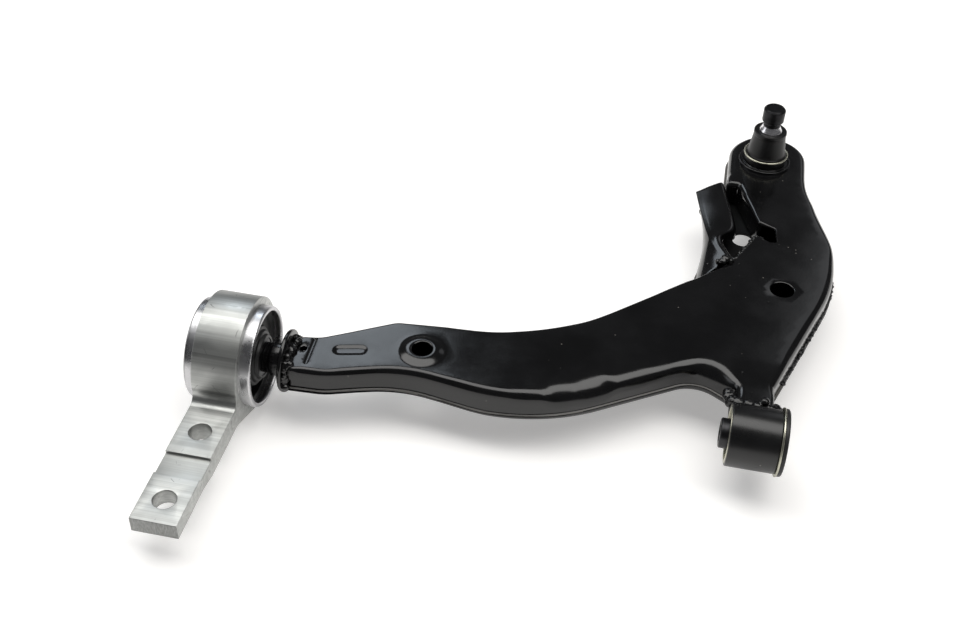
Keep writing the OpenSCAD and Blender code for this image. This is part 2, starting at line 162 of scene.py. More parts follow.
def add_node(tree, kind, inputs=None, **settings):
    """Adds a node, sets its properties, and fills its inputs with values or links them to sockets."""
    made = tree.nodes.new(kind)
    for name, value in settings.items():
        setattr(made, name, value)
    for key, value in (inputs or {}).items():
        if isinstance(value, bpy.types.NodeSocket):
            tree.links.new(value, made.inputs[key])
        else:
            made.inputs[key].default_value = value
    return made


def new_group(name, inputs, outputs):
    """A shader node group with the given sockets, each (name, kind, default), and its two end nodes."""
    tree = bpy.data.node_groups.new(name, "ShaderNodeTree")
    for label, kind, default in inputs:
        made = tree.interface.new_socket(name=label, in_out="INPUT", socket_type=kind)
        made.default_value = default
    for label, kind in outputs:
        tree.interface.new_socket(name=label, in_out="OUTPUT", socket_type=kind)
    return tree, tree.nodes.new("NodeGroupInput"), tree.nodes.new("NodeGroupOutput")


def ramp(tree, value, low, high):
    """A smooth step of a value from 0 at low to 1 at high."""
    made = add_node(tree, "ShaderNodeMapRange", {"Value": value}, interpolation_type="SMOOTHSTEP")
    made.inputs["From Min"].default_value = low
    made.inputs["From Max"].default_value = high
    return made.outputs["Result"]


def noise(tree, place, scale, detail=2.0):
    """A noise texture's value at a place."""
    made = add_node(tree, "ShaderNodeTexNoise", {"Vector": place, "Scale": scale, "Detail": detail})
    return made.outputs["Fac"]


def product(tree, first, second):
    """Two values multiplied."""
    made = add_node(tree, "ShaderNodeMath", {0: first, 1: second}, operation="MULTIPLY")
    return made.outputs["Value"]


def scaled_place(tree, place, scale):
    """Coordinates stretched by a scale for each axis."""
    made = add_node(tree, "ShaderNodeVectorMath", {0: place, 1: scale}, operation="MULTIPLY")
    return made.outputs["Vector"]


def group_coat_texture():
    """Height of a sprayed or dipped coat: a soft orange peel with a few pimples."""
    tree, start, end = new_group("coat_texture", [
        ("Place", "NodeSocketVector", (0, 0, 0)), ("Peel", "NodeSocketFloat", 0.4)],
        [("Height", "NodeSocketFloat")])
    peel = noise(tree, start.outputs["Place"], 260.0)
    broad = noise(tree, start.outputs["Place"], 45.0, 1.0)
    soft = product(tree, peel, start.outputs["Peel"])
    both = add_node(tree, "ShaderNodeMath", {0: broad, 1: 1.6, 2: soft}, operation="MULTIPLY_ADD")
    tree.links.new(both.outputs["Value"], end.inputs["Height"])
    return tree


def group_specks():
    """Mask of sparse dust specks."""
    tree, start, end = new_group("dust_specks", [
        ("Place", "NodeSocketVector", (0, 0, 0)), ("Scale", "NodeSocketFloat", 180.0),
        ("Size", "NodeSocketFloat", 0.09)], [("Mask", "NodeSocketFloat")])
    cells = add_node(tree, "ShaderNodeTexVoronoi",
                     {"Vector": start.outputs["Place"], "Scale": start.outputs["Scale"]})
    lucky = add_node(tree, "ShaderNodeSeparateColor", {"Color": cells.outputs["Color"]})
    chosen = add_node(tree, "ShaderNodeMath", {0: lucky.outputs["Red"], 1: 0.93}, operation="GREATER_THAN")
    near = add_node(tree, "ShaderNodeMath", {0: cells.outputs["Distance"], 1: start.outputs["Size"]},
                    operation="LESS_THAN")
    tree.links.new(product(tree, chosen.outputs["Value"], near.outputs["Value"]), end.inputs["Mask"])
    return tree


def group_drawn_lines():
    """Fine lines along X, as an extrusion or a lathe leaves them, as a height and a mask of deeper ones."""
    tree, start, end = new_group("drawn_lines", [
        ("Place", "NodeSocketVector", (0, 0, 0)), ("Stretch", "NodeSocketVector", (6, 900, 900))],
        [("Height", "NodeSocketFloat"), ("Deep", "NodeSocketFloat")])
    place = scaled_place(tree, start.outputs["Place"], start.outputs["Stretch"])
    fine = noise(tree, place, 1.0, 3.0)
    broad = noise(tree, place, 0.22)
    deep = ramp(tree, broad, 0.60, 0.72)
    both = add_node(tree, "ShaderNodeMath", {0: broad, 1: 1.5, 2: fine}, operation="MULTIPLY_ADD")
    tree.links.new(both.outputs["Value"], end.inputs["Height"])
    tree.links.new(deep, end.inputs["Deep"])
    return tree


def group_scratches():
    """Mask of short random handling scratches."""
    tree, start, end = new_group("handling_scratches", [
        ("Place", "NodeSocketVector", (0, 0, 0)), ("Scale", "NodeSocketFloat", 30.0)],
        [("Mask", "NodeSocketFloat")])
    bent = add_node(tree, "ShaderNodeTexNoise",
                    {"Vector": start.outputs["Place"], "Scale": 40.0, "Detail": 1.0})
    shift = add_node(tree, "ShaderNodeVectorMath", {0: bent.outputs["Color"], 1: (0.02, 0.02, 0.02)},
                     operation="MULTIPLY_ADD")
    tree.links.new(start.outputs["Place"], shift.inputs[2])
    cells = add_node(tree, "ShaderNodeTexVoronoi", {"Vector": shift.outputs["Vector"],
                     "Scale": start.outputs["Scale"]}, feature="DISTANCE_TO_EDGE")
    line = add_node(tree, "ShaderNodeMath", {0: cells.outputs["Distance"], 1: 0.012}, operation="LESS_THAN")
    kept = ramp(tree, noise(tree, start.outputs["Place"], 75.0), 0.62, 0.66)
    tree.links.new(product(tree, line.outputs["Value"], kept), end.inputs["Mask"])
    return tree


def group_smudges():
    """Slow change of gloss over a surface, from 0 to 1."""
    tree, start, end = new_group("smudges", [
        ("Place", "NodeSocketVector", (0, 0, 0)), ("Scale", "NodeSocketFloat", 22.0)],
        [("Value", "NodeSocketFloat")])
    slow = add_node(tree, "ShaderNodeTexNoise", {"Vector": start.outputs["Place"],
                    "Scale": start.outputs["Scale"], "Detail": 4.0, "Roughness": 0.6})
    tree.links.new(ramp(tree, slow.outputs["Fac"], 0.3, 0.7), end.inputs["Value"])
    return tree


def group_worn_edges():
    """Mask of convex edges, where a finish wears first."""
    tree, start, end = new_group("worn_edges", [
        ("Place", "NodeSocketVector", (0, 0, 0)), ("Start", "NodeSocketFloat", 0.56)],
        [("Mask", "NodeSocketFloat")])
    shape = tree.nodes.new("ShaderNodeNewGeometry")
    above = add_node(tree, "ShaderNodeMath", {0: shape.outputs["Pointiness"], 1: start.outputs["Start"]},
                     operation="SUBTRACT")
    sharp = ramp(tree, above.outputs["Value"], 0.0, 0.08)
    broken = ramp(tree, noise(tree, start.outputs["Place"], 160.0, 3.0), 0.42, 0.6)
    tree.links.new(product(tree, sharp, broken), end.inputs["Mask"])
    return tree


def group_painted_corner_shade():
    """Mask of concave corners, where the colour is darkened as painted shade."""
    tree, start, end = new_group("painted_corner_shade", [
        ("Place", "NodeSocketVector", (0, 0, 0)), ("Start", "NodeSocketFloat", 0.47)],
        [("Mask", "NodeSocketFloat")])
    shape = tree.nodes.new("ShaderNodeNewGeometry")
    below = add_node(tree, "ShaderNodeMath", {0: start.outputs["Start"], 1: shape.outputs["Pointiness"]},
                     operation="SUBTRACT")
    hollow = ramp(tree, below.outputs["Value"], 0.0, 0.06)
    broken = ramp(tree, noise(tree, start.outputs["Place"], 120.0), 0.2, 0.5)
    tree.links.new(product(tree, hollow, broken), end.inputs["Mask"])
    return tree


GROUPS = {}


def effect(tree, name, place, **values):
    """Places one of the shared effects in a material, with its own values."""
    made = tree.nodes.new("ShaderNodeGroup")
    made.node_tree = GROUPS[name]
    tree.links.new(place, made.inputs["Place"])
    for label, value in values.items():
        made.inputs[label].default_value = value
    return made


def new_material(name, **constants):
    """An empty material with its shader, its constant values and the object's own coordinates."""
    made = bpy.data.materials.new(name)
    made.use_nodes = True
    tree = made.node_tree
    shader = tree.nodes["Principled BSDF"]
    for label, value in constants.items():
        shader.inputs[label.replace("_", " ")].default_value = value
    place = tree.nodes.new("ShaderNodeTexCoord").outputs["Object"]
    return made, tree, shader, place


def mixed_colour(tree, mask, first, second):
    """A colour that goes from the first to the second with a mask."""
    made = add_node(tree, "ShaderNodeMix", {"Factor": mask}, data_type="RGBA")
    for socket, value in ((made.inputs[6], first), (made.inputs[7], second)):
        if isinstance(value, bpy.types.NodeSocket):
            tree.links.new(value, socket)
        else:
            socket.default_value = value
    return made.outputs[2]


def mapped(tree, value, low, high):
    """A value from 0 to 1 put between low and high."""
    made = add_node(tree, "ShaderNodeMapRange", {"Value": value})
    made.inputs["To Min"].default_value = low
    made.inputs["To Max"].default_value = high
    return made.outputs["Result"]


def bumped(tree, shader, height, strength, distance):
    """Feeds a height to the shader's normal."""
    made = add_node(tree, "ShaderNodeBump", {"Height": height, "Strength": strength, "Distance": distance})
    tree.links.new(made.outputs["Normal"], shader.inputs["Normal"])


def shade(value, factor):
    """A colour made darker or lighter by a factor."""
    return (value[0] * factor, value[1] * factor, value[2] * factor, 1)


def material_coat(name, colour, gloss, reflection=0.5):
    """Black electrocoat on steel, its roughness between two values."""
    made, tree, shader, place = new_material(name, Specular_IOR_Level=reflection, IOR=1.5)
    specks = effect(tree, "dust_specks", place, Scale=150.0, Size=0.10)
    smudges = effect(tree, "smudges", place, Scale=18.0)
    texture = effect(tree, "coat_texture", place, Peel=0.35)
    wear = effect(tree, "worn_edges", place, Start=0.60)
    tone = mixed_colour(tree, smudges.outputs["Value"], tuple(colour), shade(colour, 1.7))
    worn = mixed_colour(tree, wear.outputs["Mask"], tone, (0.014, 0.0135, 0.013, 1))
    tree.links.new(mixed_colour(tree, specks.outputs["Mask"], worn, (0.10, 0.095, 0.085, 1)),
                   shader.inputs["Base Color"])
    tree.links.new(mapped(tree, smudges.outputs["Value"], *gloss), shader.inputs["Roughness"])
    bumped(tree, shader, texture.outputs["Height"], 0.35, 0.00012)
    return made


def material_weld(colour):
    """Electrocoat over rippled weld metal."""
    made, tree, shader, place = new_material("coated_weld", IOR=1.5)
    ripples = noise(tree, place, 420.0, 3.0)
    tint = mixed_colour(tree, ramp(tree, ripples, 0.55, 0.75), tuple(colour), (0.016, 0.015, 0.014, 1))
    tree.links.new(tint, shader.inputs["Base Color"])
    tree.links.new(mapped(tree, ripples, 0.10, 0.26), shader.inputs["Roughness"])
    bumped(tree, shader, ripples, 0.6, 0.0005)
    return made


def material_aluminium(colour):
    """As-extruded aluminium with lines along the extrusion, oxide clouds, handling scratches and painted
    shade in concave corners.
    """
    made, tree, shader, place = new_material("extruded_aluminium", Metallic=1.0)
    lines = effect(tree, "drawn_lines", place, Stretch=(4, 800, 800))
    clouds = effect(tree, "smudges", place, Scale=26.0)
    scratches = effect(tree, "handling_scratches", place, Scale=60.0)
    wear = effect(tree, "worn_edges", place, Start=0.55)
    # Mask of concave corners, used for painted shade.
    corners = effect(tree, "painted_corner_shade", place, Start=0.47)
    fine = ramp(tree, lines.outputs["Height"], 0.95, 1.5)
    cloudy = mixed_colour(tree, clouds.outputs["Value"], tuple(colour), shade(colour, 0.82))
    drawn = mixed_colour(tree, fine, shade(colour, 0.72), cloudy)
    lined = mixed_colour(tree, lines.outputs["Deep"], drawn, shade(colour, 0.6))
    marked = mixed_colour(tree, scratches.outputs["Mask"], lined, shade(colour, 0.45))
    # Painted shade: the concave corners are darkened to 0.3 of the colour.
    with_corner_shade = mixed_colour(tree, corners.outputs["Mask"], marked, shade(colour, 0.3))
    parts = add_node(tree, "ShaderNodeSeparateXYZ", {"Vector": place})
    sawn = ramp(tree, parts.outputs["Y"], SAWN_END.y * MM + 0.0003, SAWN_END.y * MM + 0.0001)
    saw_marks = noise(tree, scaled_place(tree, place, (900, 60, 260)), 1.0)
    cut = mixed_colour(tree, saw_marks, shade(colour, 0.22), shade(colour, 0.75))
    with_corner_shade = mixed_colour(tree, sawn, with_corner_shade, cut)
    tree.links.new(mixed_colour(tree, wear.outputs["Mask"], with_corner_shade, (0.78, 0.78, 0.77, 1)),
                   shader.inputs["Base Color"])
    tree.links.new(mapped(tree, clouds.outputs["Value"], 0.36, 0.5), shader.inputs["Roughness"])
    bumped(tree, shader, lines.outputs["Height"], 0.4, 0.00012)
    return made


def material_turned_steel(name, colour, roughness, stretch):
    """Bright steel with fine turning lines."""
    made, tree, shader, place = new_material(name, Metallic=1.0)
    lines = effect(tree, "drawn_lines", place, Stretch=stretch)
    clouds = effect(tree, "smudges", place, Scale=60.0)
    scratches = effect(tree, "handling_scratches", place, Scale=70.0)
    lined = mixed_colour(tree, lines.outputs["Deep"], tuple(colour), shade(colour, 0.6))
    tree.links.new(mixed_colour(tree, scratches.outputs["Mask"], lined, shade(colour, 0.35)),
                   shader.inputs["Base Color"])
    tree.links.new(mapped(tree, clouds.outputs["Value"], roughness, roughness + 0.16),
                   shader.inputs["Roughness"])
    bumped(tree, shader, lines.outputs["Height"], 0.3, 0.00010)
    return made


def material_rubber(name, colour, roughness, reflection=0.4):
    """Moulded rubber with a dull bloom."""
    made, tree, shader, place = new_material(name, Specular_IOR_Level=reflection)
    bloom = effect(tree, "smudges", place, Scale=55.0)
    grain = noise(tree, place, 900.0)
    specks = effect(tree, "dust_specks", place, Scale=260.0, Size=0.12)
    tone = mixed_colour(tree, bloom.outputs["Value"], tuple(colour), shade(colour, 2.2))
    tree.links.new(mixed_colour(tree, specks.outputs["Mask"], tone, (0.12, 0.11, 0.10, 1)),
                   shader.inputs["Base Color"])
    tree.links.new(mapped(tree, bloom.outputs["Value"], roughness, roughness + 0.14),
                   shader.inputs["Roughness"])
    bumped(tree, shader, grain, 0.25, 0.00012)
    return made


def material_stud(dark, bright, split):
    """Phosphated stud with a bright turned collar below the split height, in metres."""
    made, tree, shader, place = new_material("stud_steel", Metallic=1.0)
    place_parts = add_node(tree, "ShaderNodeSeparateXYZ", {"Vector": place})
    above = ramp(tree, place_parts.outputs["Z"], split - 0.0003, split + 0.0003)
    lines = effect(tree, "drawn_lines", place, Stretch=(90, 90, 1500))
    bloom = effect(tree, "smudges", place, Scale=120.0)
    head = mixed_colour(tree, bloom.outputs["Value"], dark, shade(dark, 1.8))
    tree.links.new(mixed_colour(tree, above, bright, head), shader.inputs["Base Color"])
    gloss = mapped(tree, above, 0.24, 0.42)
    tree.links.new(gloss, shader.inputs["Roughness"])
    bumped(tree, shader, lines.outputs["Height"], 0.25, 0.00008)
    return made


def material_polymer(colour):
    """Moulded acetal seats inside the ball joint."""
    made, tree, shader, place = new_material("seat_polymer", IOR=1.48)
    cloud = effect(tree, "smudges", place, Scale=90.0)
    tree.links.new(mixed_colour(tree, cloud.outputs["Value"], tuple(colour), shade(colour, 0.9)),
                   shader.inputs["Base Color"])
    tree.links.new(mapped(tree, cloud.outputs["Value"], 0.35, 0.5), shader.inputs["Roughness"])
    return made


MATERIALS = {}


def finish_with(obj, material):
    """Gives an object one of the materials."""
    obj.data.materials.clear()
    obj.data.materials.append(MATERIALS[material])
    return obj


# ---------------------------------------------------------------- modelling helpers

def deselect():
    """Leaves edit mode and selects nothing."""
    if bpy.context.object and bpy.context.object.mode != "OBJECT":
        bpy.ops.object.mode_set(mode="OBJECT")
    bpy.ops.object.select_all(action="DESELECT")


def take(obj):
    """Selects one object alone and makes it active."""
    deselect()
    obj.select_set(True)
    bpy.context.view_layer.objects.active = obj
    return obj


def apply_modifier(obj, kind, **settings):
    """Adds a modifier with its settings and applies it."""
    take(obj)
    made = obj.modifiers.new(kind.title(), kind)
    for name, value in settings.items():
        setattr(made, name, value)
    bpy.ops.object.modifier_apply(modifier=made.name)


def smooth(obj, degrees=35):
    """Shades an object smooth, except over sharper angles."""
    take(obj)
    bpy.ops.object.shade_smooth_by_angle(angle=math.radians(degrees))
    return obj


def eased(corners, steps=5):
    """A closed profile's corners (radius, height, easing), in millimetres, as points with round corners."""
    points = []
    count = len(corners)
    for i, (r, h, ease) in enumerate(corners):
        here = Vector((r, h))
        before = Vector(corners[i - 1][:2]) - here
        after = Vector(corners[(i + 1) % count][:2]) - here
        if ease < 0.01:
            points.append(here)
            continue
        half = before.angle(after) / 2
        reach = min(ease / math.tan(half), before.length * 0.49, after.length * 0.49)
        radius = reach * math.tan(half)
        middle = here + (before.normalized() + after.normalized()).normalized() * radius / math.sin(half)
        start = here + before.normalized() * reach - middle
        stop = here + after.normalized() * reach - middle
        turn = start.angle_signed(stop)
        for k in range(steps + 1):
            points.append(middle + Matrix.Rotation(-turn * k / steps, 2) @ start)
    return points


def spun(name, corners, axis, steps=96, degrees=35):
    """A turned piece: its closed profile is extruded corner by corner, then spun round the axis."""
    centre, along, out = (Vector(v) for v in axis)
    points = [(centre + out * p[0] + along * p[1]) * MM for p in eased(corners)]
    deselect()
    bpy.ops.mesh.primitive_plane_add(size=MM, location=(0, 0, 0))
    obj = bpy.context.object
    obj.name = name
    bpy.ops.object.mode_set(mode="EDIT")
    bpy.ops.mesh.select_all(action="SELECT")
    bpy.ops.mesh.merge(type="CENTER")
    bpy.ops.transform.translate(value=points[0])
    for a, b in zip(points, points[1:] + points[:1]):
        bpy.ops.mesh.extrude_region_move(TRANSFORM_OT_translate={"value": b - a})
    bpy.ops.mesh.select_all(action="SELECT")
    bpy.ops.mesh.remove_doubles(threshold=2e-6)
    bpy.ops.mesh.spin(steps=steps, angle=2 * math.pi, center=centre * MM, axis=along)
    bpy.ops.mesh.select_all(action="SELECT")
    bpy.ops.mesh.remove_doubles(threshold=2e-6)
    bpy.ops.mesh.normals_make_consistent(inside=False)
    bpy.ops.object.mode_set(mode="OBJECT")
    return smooth(obj, degrees)


def merged_copy(name, node):
    """A CAD node's mesh as a new object, with its loose triangles merged into faces."""
    obj = bpy.data.objects.new(name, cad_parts[node].data.copy())
    bpy.context.scene.collection.objects.link(obj)
    take(obj)
    bpy.ops.object.mode_set(mode="EDIT")
    bpy.ops.mesh.select_all(action="SELECT")
    bpy.ops.mesh.remove_doubles(threshold=2e-6)
    bpy.ops.mesh.dissolve_limited(angle_limit=math.radians(0.5))
    bpy.ops.object.mode_set(mode="OBJECT")
    return obj


# ---------------------------------------------------------------- pressed skins

SHARP_TURN = math.radians(24)
ARCS = (0, 14, 28, 42, 56, 70, 82, 90)
HOLE_EASE = 0.8

# Edge rounding of the upper pressing, as (x, y, radius) spots that the radius blends between.
UPPER_EDGE = [
    (-354, -18, 3), (-340, -18, 5), (-300, -10, 5.5), (-262, -3, 6), (-195, -9, 6.5), (-165, -7, 8),
    (-143, 4, 14), (-120, 16, 17), (-99, 28, 11), (-60, 49, 9), (-38, 48, 15), (-18, 36, 8), (10, 32, 4),
    (-16, 22, 0.8), (0, 21.8, 0.8), (12, 22, 0.8), (13, 56, 6), (30, 105, 7), (58, 200, 8), (45, 275, 7),
    (36, 320, 5), (33, 350, 4.5), (28, 395, 5), (-5, 408, 6), (-34, 385, 8), (-37, 345, 8), (-37, 324, 5),
    (-27, 319, 5), (-17, 290, 3.4), (-7, 264, 2.6), (8, 256, 1.6), (10, 236, 1.2), (-7, 243, 0.9),
    (-17, 220, 0.9), (-27, 197, 0.9), (-45, 178, 1.6), (-58, 163, 3), (-110, 118, 3.5), (-170, 78, 3.5),
    (-250, 58, 3.5), (-310, 42, 3.5), (-345, 22, 3.2), (-354, 0, 0.8)]
LOWER_EDGE = [(-300, 0, 3), (-100, 60, 5), (0, 200, 5)]

# Shapes pressed into the top: (start, end, flat to, out to, depth). The boss's height is a setting.
BOSS = ((REAR_X + 144.5, 25), (REAR_X + 144.5, 25), 10.6, 20.0)
GROOVE = ((-342.4, 18.5), (-341.4, -9), 0.4, 2.3, 1.4)
EMBOSS = ((-320, 10.5), (-304.5, 14.5), 2.2, 6.4, 0.9)


def flat_loops(node, facing):
    """Boundary loops, largest first and anticlockwise, of a node's faces that point up (1) or down (-1)."""
    mesh = bmesh.new()
    mesh.from_mesh(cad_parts[node].data)
    bmesh.ops.remove_doubles(mesh, verts=mesh.verts, dist=2e-6)
    chosen = {f for f in mesh.faces if f.normal.z * facing > 0.9}
    follows = {}
    for face in chosen:
        for loop in face.loops:
            if not any(f in chosen for f in loop.edge.link_faces if f is not face):
                follows[loop.vert] = loop.link_loop_next.vert
    loops = []
    while follows:
        vert = next(iter(follows))
        loop = []
        while vert in follows:
            loop.append(vert.co / MM)
            vert = follows.pop(vert)
        loops.append(loop)
    mesh.free()
    loops.sort(key=lambda loop: -abs(loop_area(loop)))
    return [loop if loop_area(loop) > 0 else loop[::-1] for loop in loops]


def loop_area(loop):
    """Signed area of a loop seen from above."""
    return sum(a.x * b.y - b.x * a.y for a, b in zip(loop, loop[1:] + loop[:1])) / 2


def meeting(own, other):
    """Direction of a curve where its side meets the next one: a corner or a long side keeps its own."""
    if own.angle(other) > SHARP_TURN or own.length > 2 * other.length:
        return own.normalized()
    if other.length > 2 * own.length:
        return other.normalized()
    return (own.normalized() + other.normalized()).normalized()


def without_straights(loop):
    """A loop without the points that lie on its straight sides."""
    kept = []
    for i, point in enumerate(loop):
        before, after = point - loop[i - 1], loop[(i + 1) % len(loop)] - point
        if before.length > 0.01 and before.angle(after, 0) > math.radians(0.4):
            kept.append(point)
    return kept


def flowing(loop, step):
    """A loop's corners as evenly spaced points in 2D, with its small turns drawn as curves."""
    corners = without_straights([Vector(p[:2]) for p in loop])
    sides = [b - a for a, b in zip(corners, corners[1:] + corners[:1])]
    points = []
    for i, side in enumerate(sides):
        start = meeting(side, sides[i - 1]) * side.length
        stop = meeting(side, sides[(i + 1) % len(sides)]) * side.length
        a, b = corners[i], corners[(i + 1) % len(corners)]
        parts = max(1, round(side.length / step))
        for k in range(parts):
            t = k / parts
            points.append(a * (2 * t**3 - 3 * t**2 + 1) + start * (t**3 - 2 * t**2 + t)
                          + b * (3 * t**2 - 2 * t**3) + stop * (t**3 - t**2))
    return points


def to_loop(points, loop):
    """Distance from each point to a closed loop."""
    a = np.array(loop, float)[:, :2]
    side = np.roll(a, -1, 0) - a
    away = np.array(points, float)[:, None, :2] - a
    share = np.clip((away * side).sum(2) / (side**2).sum(1), 0, 1)
    return np.linalg.norm(away - share[..., None] * side, axis=2).min(1)


def to_side(points, start, end):
    """Distance from each point to a straight line between two points."""
    p, a, b = (np.array(v, float) for v in (points, start, end))
    side = b - a
    share = np.clip((p - a) @ side / max(side @ side, 1e-9), 0, 1)
    return np.linalg.norm(p - a - share[:, None] * side, axis=1)


def within(points, loop):
    """Whether each point lies inside a loop."""
    p, a = np.array(points, float)[:, None, :], np.array(loop, float)[:, :2]
    b = np.roll(a, -1, 0)
    crosses = (a[:, 1] > p[..., 1]) != (b[:, 1] > p[..., 1])
    rise = np.where(np.abs(b[:, 1] - a[:, 1]) < 1e-12, 1e-12, b[:, 1] - a[:, 1])
    left = p[..., 0] < (b[:, 0] - a[:, 0]) * (p[..., 1] - a[:, 1]) / rise + a[:, 0]
    return (crosses & left).sum(1) % 2 == 1


def blended(points, spots):
    """Value at each point of a field that passes through its spots (x, y, value)."""
    p, s = np.array(points, float), np.array(spots, float)
    weight = 1 / (np.linalg.norm(p[:, None] - s[:, :2], axis=2) + 1) ** 4
    return (weight * s[:, 2]).sum(1) / weight.sum(1)


def eased_step(x):
    """Smooth step from 0 to 1."""
    x = np.clip(x, 0, 1)
    return x * x * (3 - 2 * x)


def racetrack(start, end, reach, spacing):
    """Points at an even reach round a straight line between two points."""
    a, b = Vector(start), Vector(end)
    along = (b - a).normalized() if (b - a).length > 0.01 else Vector((1, 0))
    side = Vector((-along.y, along.x))
    points = []
    turns = max(6, round(math.pi * reach / spacing))
    for base, sign in ((b, 1), (a, -1)):
        for k in range(turns):
            angle = math.pi * (k / turns - 0.5)
            points.append(base + (along * math.cos(angle) + side * math.sin(angle)) * reach * sign)
    straight = round((b - a).length / spacing)
    for k in range(1, straight):
        for sign in (-1, 1):
            points.append(a.lerp(b, k / straight) + side * reach * sign)
    return points


def thinned(points, spacing, taken):
    """Points that keep a spacing from each other and from those already taken."""
    kept = []
    cells = {}

    def near(p):
        cx, cy = int(p[0] // spacing), int(p[1] // spacing)
        return any((Vector(p) - q).length < spacing
                   for i in (-1, 0, 1) for j in (-1, 0, 1) for q in cells.get((cx + i, cy + j), ()))

    def put(p):
        cells.setdefault((int(p[0] // spacing), int(p[1] // spacing)), []).append(Vector(p))

    for p in taken:
        put(p)
    for p in points:
        if not near(p):
            put(p)
            kept.append(Vector(p))
    return kept


def moved_out(rim, shift):
    """A rim with each of its points moved outwards by its own shift."""
    moved = []
    for i, point in enumerate(rim):
        along = (rim[(i + 1) % len(rim)] - rim[i - 1]).normalized()
        moved.append(point + Vector((along.y, -along.x)) * shift[i])
    return moved


def lip_shift(rim):
    """How far the upper rim stands out over the lower pressing's lip, so that only a thin ledge is left."""
    beside = to_loop(rim, flat_loops("lower_shell", -1)[0]) < SHEET + 0.4
    window = np.ones(7) / 7
    return LIP_CLOSED * np.convolve(np.concatenate([beside[-3:], beside, beside[:3]]), window, "valid")


def web_tuck(at):
    """How far the lower pressing's rim stands in behind the web plate's skirt."""
    near = eased_step((at[:, 1] - 196) / 20) * eased_step((302 - at[:, 1]) / 18)
    return np.where(at[:, 0] < -40, 3.6 * near, 0)


def pressed_skin(name, node, facing, edge, pressings, level, extra_drop, wall_end, spacing=5.0):
    """One pressing: its flat with round edges and pressed shapes, and the wall that its rim turns into."""
    loops = flat_loops(node, facing)
    rim = flowing(loops[0], 3.0)
    if facing > 0:
        rim = moved_out(rim, lip_shift(rim))
    else:
        rim = moved_out(rim, [-tuck for tuck in web_tuck(np.array(rim))])
    holes = [flowing(loop, 1.6) for loop in loops[1:]]
    rim_radius = blended(rim, edge)
    fixed = list(rim) + [p for hole in holes for p in hole]
    rings = []
    for k, angle in enumerate(ARCS[1:], 1):
        share = 1 - math.cos(math.radians(angle))
        for i, point in enumerate(rim):
            along = (rim[(i + 1) % len(rim)] - rim[i - 1]).normalized()
            rings.append(point + Vector((-along.y, along.x)) * rim_radius[i] * share)
    reach = to_loop(rings, rim)
    wanted = np.concatenate([rim_radius * (1 - math.cos(math.radians(a))) for a in ARCS[1:]])
    rings = [p for p, d, w in zip(rings, reach, wanted) if d > w * 0.93 and d > 0.04]
    details = []
    for start, end, flat_to, out_to, _ in pressings:
        for k in range(9):
            details += racetrack(start, end, flat_to + (out_to - flat_to) * k / 8, 1.6)
    for hole in holes:
        middle = sum(hole, Vector((0, 0))) / len(hole)
        for grow in (0.25, HOLE_EASE):
            details += [p + (p - middle).normalized() * grow for p in hole]
    low, high = np.array(rim).min(0), np.array(rim).max(0)
    grid = [Vector((low[0] + i * spacing + (j % 2) * spacing / 2, low[1] + j * spacing * 0.866))
            for j in range(int((high[1] - low[1]) / spacing / 0.866) + 1)
            for i in range(int((high[0] - low[0]) / spacing) + 1)]
    grid = [p for p, ok, d, r in zip(grid, within(grid, rim), to_loop(grid, rim), blended(grid, edge))
            if ok and d > r + spacing * 0.5]
    rings = thinned(rings, 0.12, fixed)
    details = thinned(details, 0.2, fixed + rings)
    grid = thinned(grid, spacing * 0.62, fixed + rings + details)
    points = fixed + rings + details + grid
    sides = []
    first = 0
    for loop in [rim, *holes]:
        sides += [(first + i, first + (i + 1) % len(loop)) for i in range(len(loop))]
        first += len(loop)
    flat, _, faces, came_from, _, _ = delaunay_2d_cdt(points, sides, [], 0, 1e-5, True)
    middles = [(flat[f[0]] + flat[f[1]] + flat[f[2]]) / 3 for f in faces]
    keep = within(middles, rim)
    for hole in holes:
        keep &= ~within(middles, hole)
    faces = [f for f, ok in zip(faces, keep) if ok]
    at = np.array(flat)
    radius = blended(at, edge)
    inward = to_loop(at, rim)
    drop = radius - np.sqrt(np.maximum(radius**2 - np.maximum(radius - inward, 0) ** 2, 0))
    for start, end, flat_to, out_to, depth in pressings:
        drop += depth * (1 - eased_step((to_side(at, start, end) - flat_to) / (out_to - flat_to)))
    for hole in holes:
        drop += HOLE_EASE * np.maximum(1 - to_loop(at, hole) / HOLE_EASE, 0) ** 2 * 0.6
    drop += extra_drop(at)
    heights = level(at) - facing * drop
    verts = [(p[0], p[1], z) for p, z in zip(flat, heights)]
    if facing < 0:
        faces = [f[::-1] for f in faces]
    place_of = {source: k for k, sources in enumerate(came_from) for source in sources}
    row = [place_of[i] for i in range(len(rim))]
    ends = wall_end(np.array(rim))
    for shift, share, short in WALL_ROWS[facing]:
        moved = moved_out(rim, [-shift] * len(rim))
        fresh = []
        for i, point in enumerate(moved):
            top = heights[place_of[i]]
            fresh.append(len(verts))
            verts.append((point.x, point.y, top + (ends[i] + facing * short - top) * share))
        for i in range(len(rim)):
            j = (i + 1) % len(rim)
            quad = (row[i], fresh[i], fresh[j], row[j])
            faces.append(quad if facing > 0 else quad[::-1])
        row = fresh
    mesh = bpy.data.meshes.new(name)
    mesh.from_pydata([Vector(clear_of_eye(v)) * MM for v in verts], [], faces)
    obj = bpy.data.objects.new(name, mesh)
    bpy.context.scene.collection.objects.link(obj)
    return obj


# Rows of each pressing's wall: (step inwards, share of the way to the wall's end, distance kept short of it).
WALL_ROWS = {1: ((0, 0.25, 0), (0, 0.5, 0), (0, 0.75, 0), (0, 1, 0)),
             -1: ((0.25, 0.5, 0), (0.5, 1, 0.6), (1.25, 1, 0.3), (2.0, 1, 0))}
LIP_CLOSED = 1.3
EYE_CLEAR = 1.0


